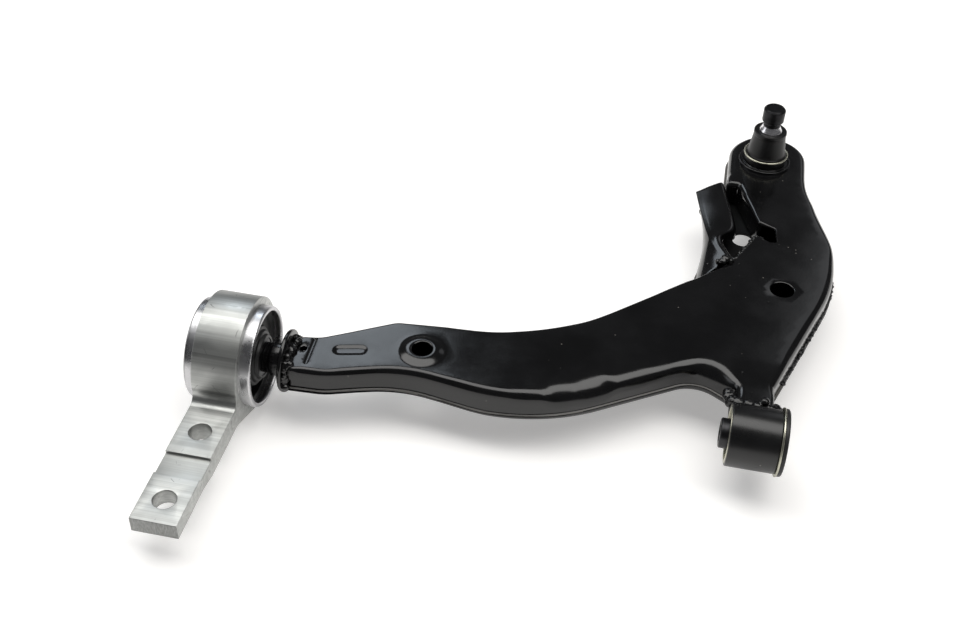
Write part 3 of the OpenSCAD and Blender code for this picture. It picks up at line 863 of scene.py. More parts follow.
def clear_of_eye(point):
    """A point moved out of the hollow of the front eye."""
    x, y, z = point
    away = math.hypot(y, z)
    if EYE_LOW.x - 1 < x < EYE_HIGH.x + 1 and away < EYE_R - EYE_CLEAR:
        y, z = y * (EYE_R - EYE_CLEAR) / away, z * (EYE_R - EYE_CLEAR) / away
    return x, y, z


def floor_level(at):
    """Level of the lower pressing's underside, from its own faces."""
    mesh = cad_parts["lower_shell"].data
    low = sorted({(round(v.co.x / MM, 2), round(v.co.z / MM, 2)) for face in mesh.polygons
                  if face.normal.z < -0.9 for v in (mesh.vertices[i] for i in face.vertices)})
    xs, zs = np.array(low).T
    return np.interp(at[:, 0], xs, zs)


def neck_fall(at):
    """The top falls a little towards the front eye."""
    near = eased_step((78 - at[:, 1]) / 34) * eased_step((at[:, 0] + 70) / 40)
    return 2.2 * near


def no_fall(at):
    """The underside stays level."""
    return np.zeros(len(at))


def lip_top(at):
    """Level of the lower pressing's upturned lip: low on the rear leg, higher on the wide part."""
    return floor_level(at) + np.interp(at[:, 0], (-330, -240, -120), (3.2, 4.0, 7.0))


def upper_wall_end(at):
    """Lower end of the upper wall: on the lip outside, a short turned edge at the window and at the ends."""
    outline = flat_loops("lower_shell", -1)[0]
    rolled = to_side(at, (-40, 321), (-27, 319.6)) < 3
    rolled |= to_side(at, (-27, 319.6), (-7, 263)) < 3
    inside = to_loop(at, outline) > SHEET + 0.5
    rest = (at[:, 0] < ARM_LOW.x + 0.6) | ((at[:, 1] < 23) & (at[:, 0] > EYE_LOW.x))
    short = ARM_TOP - blended(at, UPPER_EDGE) - 0.3
    end = np.where(inside | rest, short, lip_top(at))
    return np.where(inside & rolled, ARM_TOP - 22, end)


def lower_wall_end(at):
    """Upper end of the lower wall: at the lip, and short at the arm's two open ends."""
    rest = (at[:, 0] < FLOOR_LOW.x + 0.6) | ((at[:, 1] < 19) & (at[:, 0] > EYE_LOW.x))
    return np.where(rest, floor_level(at) + 4, lip_top(at))


ROUND_WINDOW = [(-70, 330), (-36, 330), (-12, 262), (12, 258), (14, 238), (-8, 236), (-27, 200), (-60, 200)]


def dull_inside(obj, facing):
    """Gives the faces inside the arm, where the dip leaves a duller coat, their own material."""
    obj.data.materials.append(MATERIALS["inside_coat"])
    middles = np.array([face.center / MM for face in obj.data.polygons])
    beside = within(middles, ROUND_WINDOW) & (middles[:, 2] < ARM_TOP - SHEET - 0.2)
    for face, in_window in zip(obj.data.polygons, beside):
        if face.normal.z * facing < -0.3 or (facing > 0 and in_window):
            face.material_index = 1


# ---------------------------------------------------------------- welds

# Ripples of a bead, as shares of its radius: spacing, spread about the path, smallest and largest.
RIPPLE_SPACING = 0.38
RIPPLE_SPREAD = 0.3
RIPPLE_SIZES = (0.6, 1.2)


def weld_bead(name, path, radius, seed, flatness=0.75):
    """A weld bead: overlapping ripples along a path, remeshed into one lump."""
    draw = random.Random(seed)
    points = [Vector(p) for p in path]
    lumps = []
    for a, b in zip(points, points[1:]):
        count = max(1, round((b - a).length / (radius * RIPPLE_SPACING)))
        lumps += [a.lerp(b, k / count) for k in range(count)]
    lumps.append(points[-1])
    deselect()
    made = []
    for place in lumps:
        jitter = Vector((draw.gauss(0, 1), draw.gauss(0, 1), draw.gauss(0, 1))) * radius * RIPPLE_SPREAD
        size = radius * draw.uniform(*RIPPLE_SIZES)
        made.append(lump(place + jitter, size))
        bpy.ops.transform.resize(value=(1, 1, flatness))
    obj = joined(made, name)
    apply_modifier(obj, "REMESH", mode="VOXEL", voxel_size=max(radius * 0.16, 0.3) * MM)
    apply_modifier(obj, "SMOOTH", factor=0.6, iterations=2)
    return smooth(obj, 80)


def lump(place, size):
    """A small ball of weld metal."""
    bpy.ops.mesh.primitive_ico_sphere_add(subdivisions=2, radius=size * MM, location=place * MM)
    return bpy.context.object


def joined(parts, name):
    """Several objects joined into one, with its place in its mesh."""
    deselect()
    for obj in parts:
        obj.select_set(True)
    bpy.context.view_layer.objects.active = parts[0]
    bpy.ops.object.join()
    obj = bpy.context.object
    bpy.ops.object.transform_apply(location=True, rotation=True, scale=True)
    obj.name = name
    return obj


def ride_and_finish(obj, body, material, slot, *replaced):
    """Gives a piece its finish and the body that it moves with, and hides the nodes that it stands for."""
    finish_with(obj, material)
    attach(obj, body)
    if replaced:
        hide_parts(*replaced)
    return obj


# ---------------------------------------------------------------- operators

class CONTROLARM_OT_stage(bpy.types.Operator):
    """Sets up the camera, the pale floor and the soft studio lights"""
    bl_idname = "control_arm.stage"
    bl_label = "Studio"

    def execute(self, context):
        scene = context.scene
        yaw, pitch, roll = (math.radians(a) for a in (-10.01, 40.58, 2.47))
        ahead = Vector((math.sin(yaw) * math.cos(pitch), math.cos(yaw) * math.cos(pitch), -math.sin(pitch)))
        right = Vector((math.cos(yaw), -math.sin(yaw), 0))
        up = right.cross(ahead)
        right, up = (right * math.cos(roll) + up * math.sin(roll),
                     up * math.cos(roll) - right * math.sin(roll))
        data = bpy.data.cameras.new("camera")
        data.sensor_width = 36
        data.lens = 46.89
        data.clip_start = 0.02
        camera = bpy.data.objects.new("camera", data)
        scene.collection.objects.link(camera)
        camera.matrix_world = Matrix.Translation((-0.0893, -0.6778, 0.6617)) @ Matrix(
            (right, up, -ahead)).transposed().to_4x4()
        scene.camera = camera
        self.floor(scene)
        self.lights(scene)
        scene.view_settings.view_transform = "Standard"
        return {"FINISHED"}

    def floor(self, scene):
        deselect()
        bpy.ops.mesh.primitive_plane_add(size=14, location=(0, 0, CAD_BOX[0].z - 0.0008))
        floor = bpy.context.object
        floor.name = "studio_floor"
        made, tree, shader, place = new_material("floor_paper", Specular_IOR_Level=0.1)
        grain = add_node(tree, "ShaderNodeTexNoise", {"Vector": place, "Scale": 3.0, "Detail": 2.0})
        colour = tuple(scene.control_arm_finish.floor)
        tree.links.new(mixed_colour(tree, grain.outputs["Fac"], colour, shade(colour, 0.99)),
                       shader.inputs["Base Color"])
        shader.inputs["Roughness"].default_value = 0.8
        shader.inputs["Emission Color"].default_value = colour
        shader.inputs["Emission Strength"].default_value = 0.4
        floor.data.materials.append(made)

    def lights(self, scene):
        world = bpy.data.worlds.new("studio_air")
        world.use_nodes = True
        tree = world.node_tree
        air = tree.nodes["Background"]
        air.inputs["Color"].default_value = (0.078, 0.079, 0.082, 1)
        backdrop = add_node(tree, "ShaderNodeBackground", {"Color": (0.5, 0.5, 0.5, 1)})
        rays = tree.nodes.new("ShaderNodeLightPath")
        both = add_node(tree, "ShaderNodeMixShader", {0: rays.outputs["Is Camera Ray"], 1: air.outputs[0],
                        2: backdrop.outputs[0]})
        tree.links.new(both.outputs[0], tree.nodes["World Output"].inputs["Surface"])
        scene.world = world
        soft_boxes = [
            ("overhead", (-0.1, 0.22, 1.95), (-0.15, 0.02, 0), 4.0, 1.3, 58, (1, 0.99, 0.97)),
            ("back_left", (-0.95, 1.62, 1.40), (-0.30, 0.03, 0), 0.62, 0.66, 4.2, (0.84, 0.92, 1)),
            ("back_right", (0.58, 1.75, 1.05), (0.02, 0.2, 0), 0.6, 0.9, 1.1, (0.95, 0.97, 1)),
            ("left_side", (-2.2, 0.0, 1.1), (-0.3, 0, 0), 1.0, 1.6, 7, (0.95, 0.97, 1)),
        ]
        for name, place, target, width, height, power, colour in soft_boxes:
            data = bpy.data.lights.new(name, "AREA")
            data.shape = "RECTANGLE"
            data.size, data.size_y = width, height
            data.energy = power
            data.color = colour
            lamp = bpy.data.objects.new(name, data)
            scene.collection.objects.link(lamp)
            lamp.location = place
            lamp.rotation_euler = (Vector(target) - Vector(place)).to_track_quat("-Z", "Y").to_euler()
            lamp.visible_camera = False


class CONTROLARM_OT_materials(bpy.types.Operator):
    """Builds the shared effects and the finishes"""
    bl_idname = "control_arm.materials"
    bl_label = "Finishes"

    def execute(self, context):
        colours = context.scene.control_arm_finish
        for tree in (group_coat_texture(), group_specks(), group_drawn_lines(), group_scratches(),
                     group_smudges(), group_worn_edges(), group_painted_corner_shade()):
            GROUPS[tree.name] = tree
        split = (BOOT_HIGH.z + 5.2) * MM
        MATERIALS.update({
            "coat": material_coat("black_electrocoat", colours.coat, (0.11, 0.2)),
            "tube_coat": material_coat("electrocoat_on_tube", colours.coat, (0.24, 0.34)),
            # A lighter coat colour for the lip's top faces: a painted highlight along the lower lip.
            "painted_lip_highlight": material_coat("lip_painted_highlight", (0.075, 0.071, 0.065, 1), (0.28, 0.4)),
            "inside_coat": material_coat("electrocoat_inside", colours.coat, (0.5, 0.65), 0.15),
            "weld": material_weld(colours.coat),
            "aluminium": material_aluminium(colours.aluminium),
            "sleeve": material_turned_steel("bright_sleeve_steel", colours.steel, 0.22, (900, 60, 60)),
            "plating": material_turned_steel("zinc_plating", colours.plating, 0.24, (700, 90, 90)),
            "dark_steel": material_turned_steel("phosphated_steel", (0.045, 0.045, 0.047, 1), 0.34,
                                                (500, 80, 80)),
            "stud": material_stud((0.016, 0.016, 0.017, 1), (0.85, 0.84, 0.86, 1), split),
            "rubber": material_rubber("bush_rubber", colours.rubber, 0.42),
            "boot": material_rubber("boot_rubber", shade(colours.rubber, 0.6), 0.34, 0.3),
            "polymer": material_polymer(colours.seat),
        })
        return {"FINISHED"}


class CONTROLARM_OT_upper_shell(bpy.types.Operator):
    """Builds the upper pressing with its rounded edges, boss, groove and window"""
    bl_idname = "control_arm.upper_shell"
    bl_label = "Upper pressing"

    def execute(self, context):
        sizes = context.scene.control_arm_pressings
        pressings = [(*BOSS, -sizes.boss / MM), GROOVE, EMBOSS]
        obj = pressed_skin("upper_pressing", "upper_shell", 1, UPPER_EDGE, pressings,
                           lambda at: np.full(len(at), ARM_TOP), neck_fall, upper_wall_end)
        apply_modifier(obj, "SOLIDIFY", thickness=sizes.sheet, offset=-1)
        smooth(obj, 40)
        ride_and_finish(obj, "arm", "coat", "black_coat", "upper_shell")
        dull_inside(obj, 1)
        return {"FINISHED"}


class CONTROLARM_OT_lower_shell(bpy.types.Operator):
    """Builds the lower pressing with its upturned lip, whose top faces carry a painted highlight"""
    bl_idname = "control_arm.lower_shell"
    bl_label = "Lower pressing"

    def execute(self, context):
        sizes = context.scene.control_arm_pressings
        obj = pressed_skin("lower_pressing", "lower_shell", -1, LOWER_EDGE, [], floor_level, no_fall,
                           lower_wall_end, spacing=7.0)
        apply_modifier(obj, "SOLIDIFY", thickness=sizes.sheet * 0.75, offset=-1)
        smooth(obj, 40)
        ride_and_finish(obj, "arm", "coat", "black_coat", "lower_shell")
        dull_inside(obj, -1)
        # The lip's top faces get the lighter colour, a painted highlight along the lip.
        obj.data.materials.append(MATERIALS["painted_lip_highlight"])
        middles = np.array([face.center / MM for face in obj.data.polygons])
        tops = lip_top(middles)
        for face, middle, top in zip(obj.data.polygons, middles, tops):
            if face.normal.z > 0.5 and middle[2] > top - 0.75:
                face.material_index = 2
        return {"FINISHED"}


class CONTROLARM_OT_rear_bush(bpy.types.Operator):
    """Builds the rear bush, its pin and the end plate"""
    bl_idname = "control_arm.rear_bush"
    bl_label = "Rear bush"

    def execute(self, context):
        rim = REAR_HALF
        inner = REAR_R - 2.0
        sleeve = spun("rear_bush_sleeve", [
            (REAR_R - 3.4, -rim, 1.5), (REAR_R, -rim, 1.6), (REAR_R, rim, 1.6), (REAR_R - 3.4, rim, 1.5),
            (REAR_R - 3.6, rim - 2.2, 0.6), (inner, rim - 5.5, 1.0), (inner, -rim + 5.5, 1.0),
            (REAR_R - 3.6, -rim + 2.2, 0.6)], REAR_AXIS, 128)
        ride_and_finish(sleeve, "rear_bracket", "sleeve", "bright_sleeve", "rear_bush_outer_sleeve")
        self.rubber(inner)
        pin_free = PIN_LOW.x - REAR_X
        plate = PLATE_LOW.x - REAR_X
        pin = spun("rear_pin_shank", [
            (0, pin_free, 0), (PIN_R - 2, pin_free, 0.5), (PIN_R, pin_free + 2, 0.5),
            (PIN_R, rim + 4, 0.6), (PIN_R + 1.6, rim + 6, 1.0), (PIN_R + 1.6, plate - 2.5, 1.8),
            (PIN_R + 4.5, plate, 0), (6, plate, 0), (6, PIN_HIGH.x - REAR_X, 1), (0, PIN_HIGH.x - REAR_X, 0)],
            REAR_AXIS, 96)
        ride_and_finish(pin, "arm", "coat", "black_coat", "rear_pin")
        outer = PLATE_HIGH.z
        disc = spun("end_plate", [
            (6, plate, 0.2), (outer, plate, 1.5), (outer, PLATE_HIGH.x - REAR_X, 1.5),
            (6, PLATE_HIGH.x - REAR_X, 0.2)], REAR_AXIS, 96)
        ride_and_finish(disc, "arm", "coat", "black_coat", "rear_end_plate")
        return {"FINISHED"}

    def rubber(self, outer):
        """Rubber with its ridged hub and two kidney-shaped voids."""
        hub = PIN_R + 3.05
        web = REAR_HALF - 9
        half = []
        for r, h, ease in ((hub, REAR_HALF - 1.2, 0.5), (hub + 2.2, REAR_HALF - 1.2, 0.9),
                           (hub + 3.0, REAR_HALF - 3.6, 0.5), (hub + 5.2, REAR_HALF - 3.9, 1.0),
                           (hub + 6.0, REAR_HALF - 6.2, 0.5), (hub + 8.4, REAR_HALF - 6.4, 1.0),
                           (hub + 9.6, web, 0.8), (outer - 3.4, web, 1.5), (outer, web + 2.6, 0.4)):
            half.append((r, h, ease))
        corners = half + [(r, -h, ease) for r, h, ease in reversed(half)]
        obj = spun("rear_bush_rubber_body", corners, REAR_AXIS, 128)
        for side in (90, 270):
            cutter = self.kidney(side, hub + 9.9, outer - 3.6)
            take(obj)
            made = obj.modifiers.new("Void", "BOOLEAN")
            made.object = cutter
            made.operation = "DIFFERENCE"
            bpy.ops.object.modifier_apply(modifier=made.name)
            bpy.data.objects.remove(cutter)
        smooth(obj, 35)
        ride_and_finish(obj, "rear_bracket", "rubber", "rubber", "rear_bush_rubber")

    def kidney(self, middle, inner, outer):
        """A kidney-shaped bar along the bush line, made from a plane turned and extruded."""
        points = []
        for r, angles in ((inner, range(-40, 41, 8)), (outer, range(40, -41, -8))):
            for a in angles:
                angle = math.radians(middle + a)
                points.append(Vector((0, math.cos(angle), math.sin(angle))) * r)
        deselect()
        bpy.ops.mesh.primitive_plane_add(size=MM, location=(0, 0, 0))
        obj = bpy.context.object
        bpy.ops.object.mode_set(mode="EDIT")
        bpy.ops.mesh.select_all(action="SELECT")
        bpy.ops.mesh.merge(type="CENTER")
        start = Vector((REAR_X - 60, 0, 0)) + points[0]
        bpy.ops.transform.translate(value=start * MM)
        for a, b in zip(points, points[1:] + points[:1]):
            bpy.ops.mesh.extrude_region_move(TRANSFORM_OT_translate={"value": (b - a) * MM})
        bpy.ops.mesh.select_all(action="SELECT")
        bpy.ops.mesh.remove_doubles(threshold=2e-6)
        bpy.ops.mesh.edge_face_add()
        bpy.ops.mesh.extrude_region_move(TRANSFORM_OT_translate={"value": (0.12, 0, 0)})
        bpy.ops.mesh.select_all(action="SELECT")
        bpy.ops.mesh.normals_make_consistent(inside=False)
        bpy.ops.object.mode_set(mode="OBJECT")
        return obj


class CONTROLARM_OT_bracket(bpy.types.Operator):
    """Finishes the extruded bracket with bevelled edges"""
    bl_idname = "control_arm.bracket"
    bl_label = "Rear bracket"

    def execute(self, context):
        obj = merged_copy("rear_bracket_body", "rear_bracket")
        apply_modifier(obj, "BEVEL", width=context.scene.control_arm_turned.extrusion_edge, segments=3,
                       limit_method="ANGLE", angle_limit=math.radians(30), harden_normals=False)
        smooth(obj, 30)
        ride_and_finish(obj, "rear_bracket", "aluminium", "aluminium", "rear_bracket")
        return {"FINISHED"}


class CONTROLARM_OT_front_bush(bpy.types.Operator):
    """Builds the welded eye and its bush"""
    bl_idname = "control_arm.front_bush"
    bl_label = "Front bush"

    def execute(self, context):
        ease = context.scene.control_arm_turned.easing / MM
        bore = EYE_R - 3
        left, right = EYE_LOW.x, EYE_HIGH.x
        eye = spun("front_eye_tube", [
            (bore, left, 0.5), (EYE_R, left, 0.9), (EYE_R, right, 0.9), (bore, right, 0.5)], EYE_AXIS, 128)
        ride_and_finish(eye, "arm", "tube_coat", "black_coat", "front_eye")
        lip = FLANGE_HIGH.z
        sleeve = spun("front_bush_sleeve", [
            (bore - 1.5, left - 0.5, 0.3), (bore + 1.2, left - 0.5, 0.3), (bore + 1.2, left - 0.05, 0),
            (bore, left - 0.05, 0), (bore, right, 0.3), (lip - 0.4, right, 0.5),
            (lip, FLANGE_HIGH.x, 0.6), (bore - 1.5, FLANGE_HIGH.x, 0.3)], EYE_AXIS, 128)
        ride_and_finish(sleeve, "arm", "plating", "plated_steel", "front_bush_outer_sleeve")
        hub = INNER_HIGH.z + 0.05
        face = BUMPER_HIGH.x
        rubber = spun("front_bush_rubber_body", [
            (hub, left + 5, 0.4), (bore - 5, left + 4.2, 1.2), (bore - 1.6, left + 7, 1.0),
            (bore - 1.6, FLANGE_HIGH.x - 0.2, 0.2), (lip - 0.9, FLANGE_HIGH.x + 0.05, 0.3),
            (lip - 0.9, face - 0.4, 1.5), (lip - 4, face, 1.0), (hub + 4, face - 0.6, 1.2),
            (hub, face - 2, 0.4)], EYE_AXIS, 128)
        ride_and_finish(rubber, "arm", "rubber", "rubber", "front_bush_rubber")
        outer = INNER_HIGH.z
        inner = spun("front_inner_sleeve", [
            (7.1, INNER_LOW.x, ease), (outer, INNER_LOW.x, 1.4), (outer, INNER_HIGH.x, 1.4),
            (7.1, INNER_HIGH.x, ease)], EYE_AXIS, 96)
        ride_and_finish(inner, "front_sleeve", "dark_steel", "dark_steel", "front_bush_inner_sleeve")
        return {"FINISHED"}


class CONTROLARM_OT_ball_joint(bpy.types.Operator):
    """Builds the ball joint's housing and stud"""
    bl_idname = "control_arm.ball_joint"
    bl_label = "Ball joint"

    def execute(self, context):
        bore = COLLAR_R - 6.6
        foot = BOOT_LOW.z - 0.3
        neck = BOOT_FOOT_R - 2.6
        mouth = HOUSING_HIGH.z
        housing = spun("ball_joint_housing", [
            (bore, HOUSING_LOW.z, 0.5), (bore + 4, HOUSING_LOW.z, 1.2), (bore + 4, ARM_TOP - 0.5, 0),
            (COLLAR_R, ARM_TOP - 0.5, 0.3), (COLLAR_R, foot - 0.2, 0.9), (COLLAR_R - 1.6, foot - 0.2, 0.4),
            (COLLAR_R - 2.2, foot - 0.8, 0.4), (COLLAR_R - 3.4, foot - 0.8, 0.4), (COLLAR_R - 3.9, foot, 0.3),
            (neck, foot, 0.3), (neck, mouth, 0.4), (bore - 1.3, mouth, 0.4), (bore - 4.1, 8, 0.3),
            (bore, 8, 0)], BALL_AXIS, 128)
        ride_and_finish(housing, "arm", "coat", "black_coat", "ball_housing")
        self.stud()
        return {"FINISHED"}

    def stud(self):
        ball_z, ball_r = -1.0, 14.0
        top, head = STUD_HIGH.z, STUD_HIGH.z - 14
        lip = BOOT_HIGH.z
        corners = [(0, ball_z - ball_r, 0)]
        for k in range(1, 15):
            angle = math.radians(-90 + k * 10)
            corners.append((ball_r * math.cos(angle), ball_z + ball_r * math.sin(angle), 0))
        corners += [
            (7, ball_z + 12.12, 0.8), (6.1, ball_z + 21, 2), (6.3, lip - 16, 2), (9, lip - 11, 2),
            (10.45, lip - 4.2, 0.8),
            (10.45, lip + 0.6, 0.7), (9.0, lip + 2.9, 3.0), (7.7, lip + 5.4, 1.6), (7.7, head - 1.6, 1.5),
            (10, head + 1.3, 0.7), (10, top - 1.6, 0.5), (8.5, top, 0.5), (0, top - 0.3, 0)]
        obj = spun("stud", corners, BALL_AXIS, 96)
        ride_and_finish(obj, "stud", "stud", "stud_steel", "ball_stud")


class CONTROLARM_OT_dust_boot(bpy.types.Operator):
    """Builds the dust boot in two halves"""
    bl_idname = "control_arm.dust_boot"
    bl_label = "Dust boot"

    def execute(self, context):
        foot, lip_z = BOOT_LOW.z, BOOT_HIGH.z
        out = BOOT_FOOT_R
        waist = out - 1.0
        split = 27.0
        lip = 15.2
        shoulder = out - 2.3
        wall = 1.3
        slope = (split - 23) / (lip_z - 4 - 23)
        middle = shoulder + (lip - 0.4 - shoulder) * slope
        lower = spun("dust_boot_lower", [
            (waist - 1.55, foot, 0.3), (out, foot, 0.9), (out, foot + 5, 0.8), (waist, foot + 5.7, 0.4),
            (waist, foot + 8.1, 0.4), (shoulder + 0.4, foot + 9.0, 0.6), (shoulder, 23, 1.5),
            (middle, split, 0), (middle - wall, split, 0), (shoulder - wall, 22, 1.5),
            (shoulder - wall, foot + 6, 0.5),
            (waist - 1.55, foot + 4, 0.5)],
            BALL_AXIS, 128, 50)
        bore = 10.55
        upper = spun("dust_boot_upper", [
            (middle, split, 0), (lip - 0.4, lip_z - 4.2, 0.5), (lip, lip_z - 3.5, 0.4), (lip, lip_z, 0.9),
            (bore + 0.1, lip_z, 0.6), (bore, lip_z - 1.1, 0), (bore + 2.3, lip_z - 1.1, 0),
            (bore + 2.3, lip_z - 3.1, 0), (bore, lip_z - 3.1, 0), (bore, lip_z - 4.4, 0.4),
            (lip - 0.5 - wall, lip_z - 5.6, 0.8), (middle - wall, split, 0)], BALL_AXIS, 128, 50)
        for obj in (lower, upper):
            finish_with(obj, "boot")
            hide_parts("dust_boot")
        axis = Vector((BALL_X, BALL_Y, 0))

        def level(z):
            return (axis + Vector((0, 0, z))) * MM
        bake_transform(lower)
        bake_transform(upper)
        return {"FINISHED"}


class CONTROLARM_OT_web_plate(bpy.types.Operator):
    """Builds the folded web plate that closes the window's outer side"""
    bl_idname = "control_arm.web_plate"
    bl_label = "Web plate"

    # Stations along the plate, near end first: skirt foot, knee, outer edge, ridge, panel, rib, drop and end.
    STATIONS = [
        ((-57.5, 176, -12), (-53, 182, 0), (-33, 197, 8.7), (-29, 199.5, 10.4), (-27.5, 201, 9.8),
         (-26.5, 202, 9), (-25.5, 203, 8), (-25, 203.5, 6.5)),
        ((-55.5, 197, -12), (-52, 202, 0), (-39, 210.5, 8.0), (-35.5, 211.5, 9.6), (-33.5, 213, 9.8),
         (-32, 214, 8.8), (-31, 215, 7.5), (-30.5, 215.5, 6)),
        ((-53.7, 214, -12), (-52, 218, 0), (-45.8, 224, 7.2), (-43, 225, 8.8), (-40.5, 225.5, 9.6),
         (-38.5, 227, 8.4), (-37, 228, 7), (-36, 229, 5)),
        ((-52.5, 230, -12), (-52, 232, 0), (-48.8, 235, 6.4), (-46, 235.5, 8.0), (-42.5, 235.3, 9.8),
         (-40, 236, 9.6), (-38.5, 236.6, 7), (-37.5, 237, 5)),
        ((-52.2, 237, -12), (-52.4, 238, 0), (-50.3, 240, 5.6), (-47, 240.5, 7.0), (-38, 242.5, 9.6),
         (-28.5, 244, 10.2), (-25, 245.6, 5), (-24.4, 246, -3)),
        ((-52.4, 249, -12), (-53.4, 250, 0), (-53.4, 251.5, 4.8), (-50, 252, 6.2), (-39.5, 254, 9.4),
         (-29, 256.5, 10.4), (-25.4, 258, 5), (-24.8, 258.5, -4)),
        ((-53.6, 267, -12), (-56.2, 268, 0), (-57.4, 269.2, 4.2), (-54, 269.8, 5.6), (-43.5, 273.5, 9.0),
         (-33, 277, 10.4), (-29.4, 278.5, 5), (-28.8, 279, -4)),
        ((-56, 287, -12), (-59.6, 287, 0), (-61.2, 286.8, 4.0), (-57.7, 287.8, 5.4), (-48, 292.5, 8.6),
         (-38, 297, 10.4), (-34.4, 298.5, 5), (-33.8, 299, -4)),
        ((-58.6, 305, -12), (-63.4, 305.5, 0), (-64.9, 305.6, 3.6), (-61.0, 307.6, 5.0), (-52, 313, 8.2),
         (-42.6, 318, 10.4), (-38.8, 319.6, 5), (-38.2, 320, -4)),
    ]

    def execute(self, context):
        rows = len(self.STATIONS)
        columns = len(self.STATIONS[0])
        deselect()
        bpy.ops.mesh.primitive_grid_add(x_subdivisions=columns - 1, y_subdivisions=rows - 1, size=0.05)
        obj = bpy.context.object
        obj.name = "web_plate_folded"
        for k, vert in enumerate(obj.data.vertices):
            vert.co = Vector(self.STATIONS[k // columns][k % columns]) * MM
        take(obj)
        bpy.ops.object.mode_set(mode="EDIT")
        bpy.ops.mesh.select_all(action="SELECT")
        bpy.ops.mesh.normals_make_consistent(inside=False)
        bpy.ops.object.mode_set(mode="OBJECT")
        up = sum(face.normal.z for face in obj.data.polygons)
        if up < 0:
            obj.data.flip_normals()
        crease = obj.data.attributes.new("crease_edge", "FLOAT", "EDGE")
        for k, edge in enumerate(obj.data.edges):
            a, b = (v % columns for v in edge.vertices)
            crease.data[k].value = {2: 0.55, 3: 0.55, 5: 0.35, 6: 0.3}.get(a, 0) if a == b else 0
        apply_modifier(obj, "SUBSURF", levels=3, render_levels=3)
        apply_modifier(obj, "SOLIDIFY", thickness=context.scene.control_arm_pressings.sheet, offset=-1)
        apply_modifier(obj, "BEVEL", width=0.4 * MM, segments=2, limit_method="ANGLE",
                       angle_limit=math.radians(50))
        smooth(obj, 40)
        ride_and_finish(obj, "arm", "coat", "black_coat", "web_plate")
        return {"FINISHED"}


class CONTROLARM_OT_welds(bpy.types.Operator):
    """Lays the weld beads that join the arm"""
    bl_idname = "control_arm.welds"
    bl_label = "Welds"

    def execute(self, context):
        bead = context.scene.control_arm_pressings.weld / MM
        end = PLATE_HIGH.x + 1.2
        neck = EYE_R * 0.93
        seam = [(21.5, 74, -8.6), (31, 101, -8.8), (40.5, 129, -8.8), (49.5, 156, -8.8), (56, 178, -8.8),
                (60, 198, -8.8), (61.3, 214, -8.8)]
        beads = [
            ("weld_end_plate", [(end, 22, -9), (end, 21.5, 0), (end, 18, 8), (end, 12, 11.5), (end, 0, 12),
                                (end, -14, 11), (end, -20, 4), (end, -21.5, -9), (end, -8, -14.5),
                                (end, 8, -14.5), (end, 22, -9)], bead),
            ("weld_front_eye", [(-20.5, 42, 4), (-20.5, 33, 3), (-18.5, 28, 4), (-16, 27, 8), (-8, 26, 10),
                                (2, 25.5, 10), (9, 25.5, 9.5), (15, 25, 8)], bead * 1.3),
            ("weld_web_plate", [(-38, 194, 9.5), (-34, 197, 12), (-31, 198, 12), (-27, 201, 8)], bead * 1.2),
            ("weld_window", [(-25, 203, 8.4), (-20, 214, 8.6), (-14, 228, 8.6), (-8, 241, 8.4),
                             (-3, 241, 8)], bead * 0.55),
            ("weld_seam", seam, bead * 0.42),
        ]
        for seed, (name, path, radius) in enumerate(beads):
            ride_and_finish(weld_bead(name, path, radius, seed + 11), "arm", "weld", "black_coat")
        self.spatter()
        return {"FINISHED"}

    def spatter(self):
        """Droplets of weld metal near the beads."""
        draw = random.Random(5)
        spots = [(-40, 186), (-47, 190), (-21, 196), (12, 232), (-2, 236), (5, 150), (-6, 130), (2, 96),
                 (-12, 60), (-4, 40), (6, 34), (-346, 8), (-345, -6), (-20, 180), (22, 128), (-150, 30)]
        made = []
        deselect()
        for x, y in spots:
            size = draw.uniform(0.45, 1.0)
            fall = float(neck_fall(np.array([(x, y)], float))[0])
            made.append(lump(Vector((x, y, ARM_TOP - fall + size * 0.1)), size))
        obj = joined(made, "weld_spatter")
        smooth(obj, 80)
        ride_and_finish(obj, "arm", "weld", "black_coat")


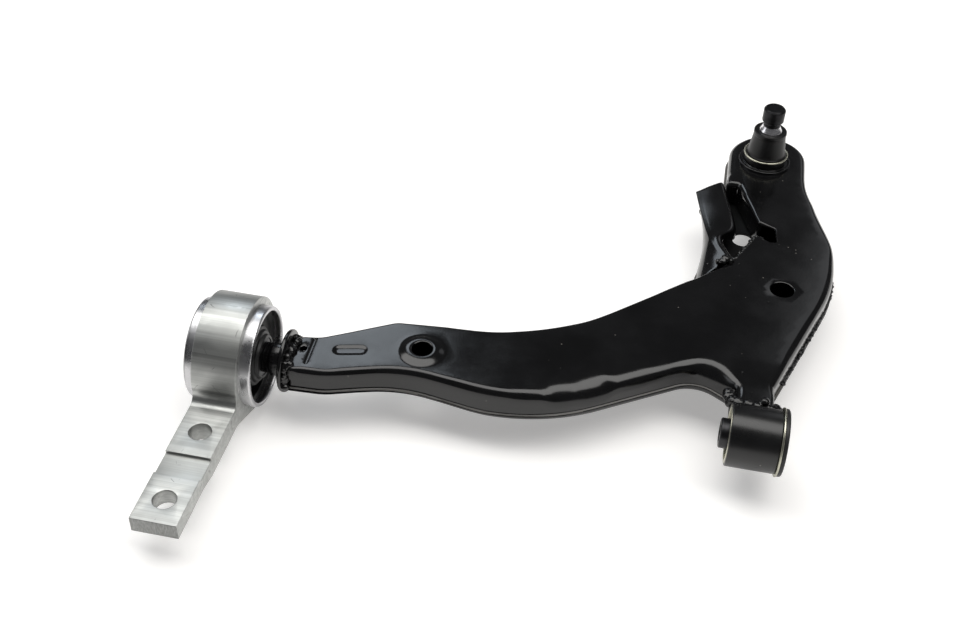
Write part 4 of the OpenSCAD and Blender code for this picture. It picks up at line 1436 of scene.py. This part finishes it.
class CONTROLARM_OT_inner_parts(bpy.types.Operator):
    """Finishes the parts that keep their designed shape"""
    bl_idname = "control_arm.inner_parts"
    bl_label = "Inner parts"

    def execute(self, context):
        kept = {"rear_bush_inner_sleeve": "dark_steel", "ball_seat_upper": "polymer",
                "ball_seat_lower": "polymer", "seat_spring": "plating", "ball_cover": "dark_steel",
                "boot_lower_ring": "plating", "boot_upper_ring": "dark_steel"}
        for node, material in kept.items():
            finish_with(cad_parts[node], material)
            smooth(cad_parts[node], 40)
        return {"FINISHED"}


class CONTROLARM_PT_panel(bpy.types.Panel):
    """Lists the control arm's pieces and settings"""
    bl_idname = "CONTROLARM_PT_panel"
    bl_label = "Control Arm"
    bl_space_type = "VIEW_3D"
    bl_region_type = "UI"
    bl_category = "Control Arm"

    def draw(self, context):
        for group in ("control_arm_pressings", "control_arm_turned", "control_arm_finish"):
            box = self.layout.box()
            settings = getattr(context.scene, group)
            for name in settings.bl_rna.properties.keys():
                if name not in ("rna_type", "name"):
                    box.prop(settings, name)
        for step in STEPS:
            self.layout.operator("control_arm." + step)


STEPS = ("materials", "stage", "upper_shell", "lower_shell", "rear_bush", "bracket", "front_bush",
         "ball_joint", "dust_boot", "web_plate", "welds", "inner_parts")
CLASSES = (ControlArmPressings, ControlArmTurned, ControlArmFinish, CONTROLARM_OT_materials,
           CONTROLARM_OT_stage, CONTROLARM_OT_upper_shell, CONTROLARM_OT_lower_shell, CONTROLARM_OT_rear_bush,
           CONTROLARM_OT_bracket, CONTROLARM_OT_front_bush, CONTROLARM_OT_ball_joint, CONTROLARM_OT_dust_boot,
           CONTROLARM_OT_web_plate, CONTROLARM_OT_welds, CONTROLARM_OT_inner_parts, CONTROLARM_PT_panel)


def register():
    for cls in CLASSES:
        bpy.utils.register_class(cls)
    bpy.types.Scene.control_arm_pressings = PointerProperty(type=ControlArmPressings)
    bpy.types.Scene.control_arm_turned = PointerProperty(type=ControlArmTurned)
    bpy.types.Scene.control_arm_finish = PointerProperty(type=ControlArmFinish)


def unregister():
    del bpy.types.Scene.control_arm_pressings
    del bpy.types.Scene.control_arm_turned
    del bpy.types.Scene.control_arm_finish
    for cls in reversed(CLASSES):
        bpy.utils.unregister_class(cls)


def main():
    register()
    for step in STEPS:
        getattr(bpy.ops.control_arm, step)()


if __name__ == "__main__":
    main()
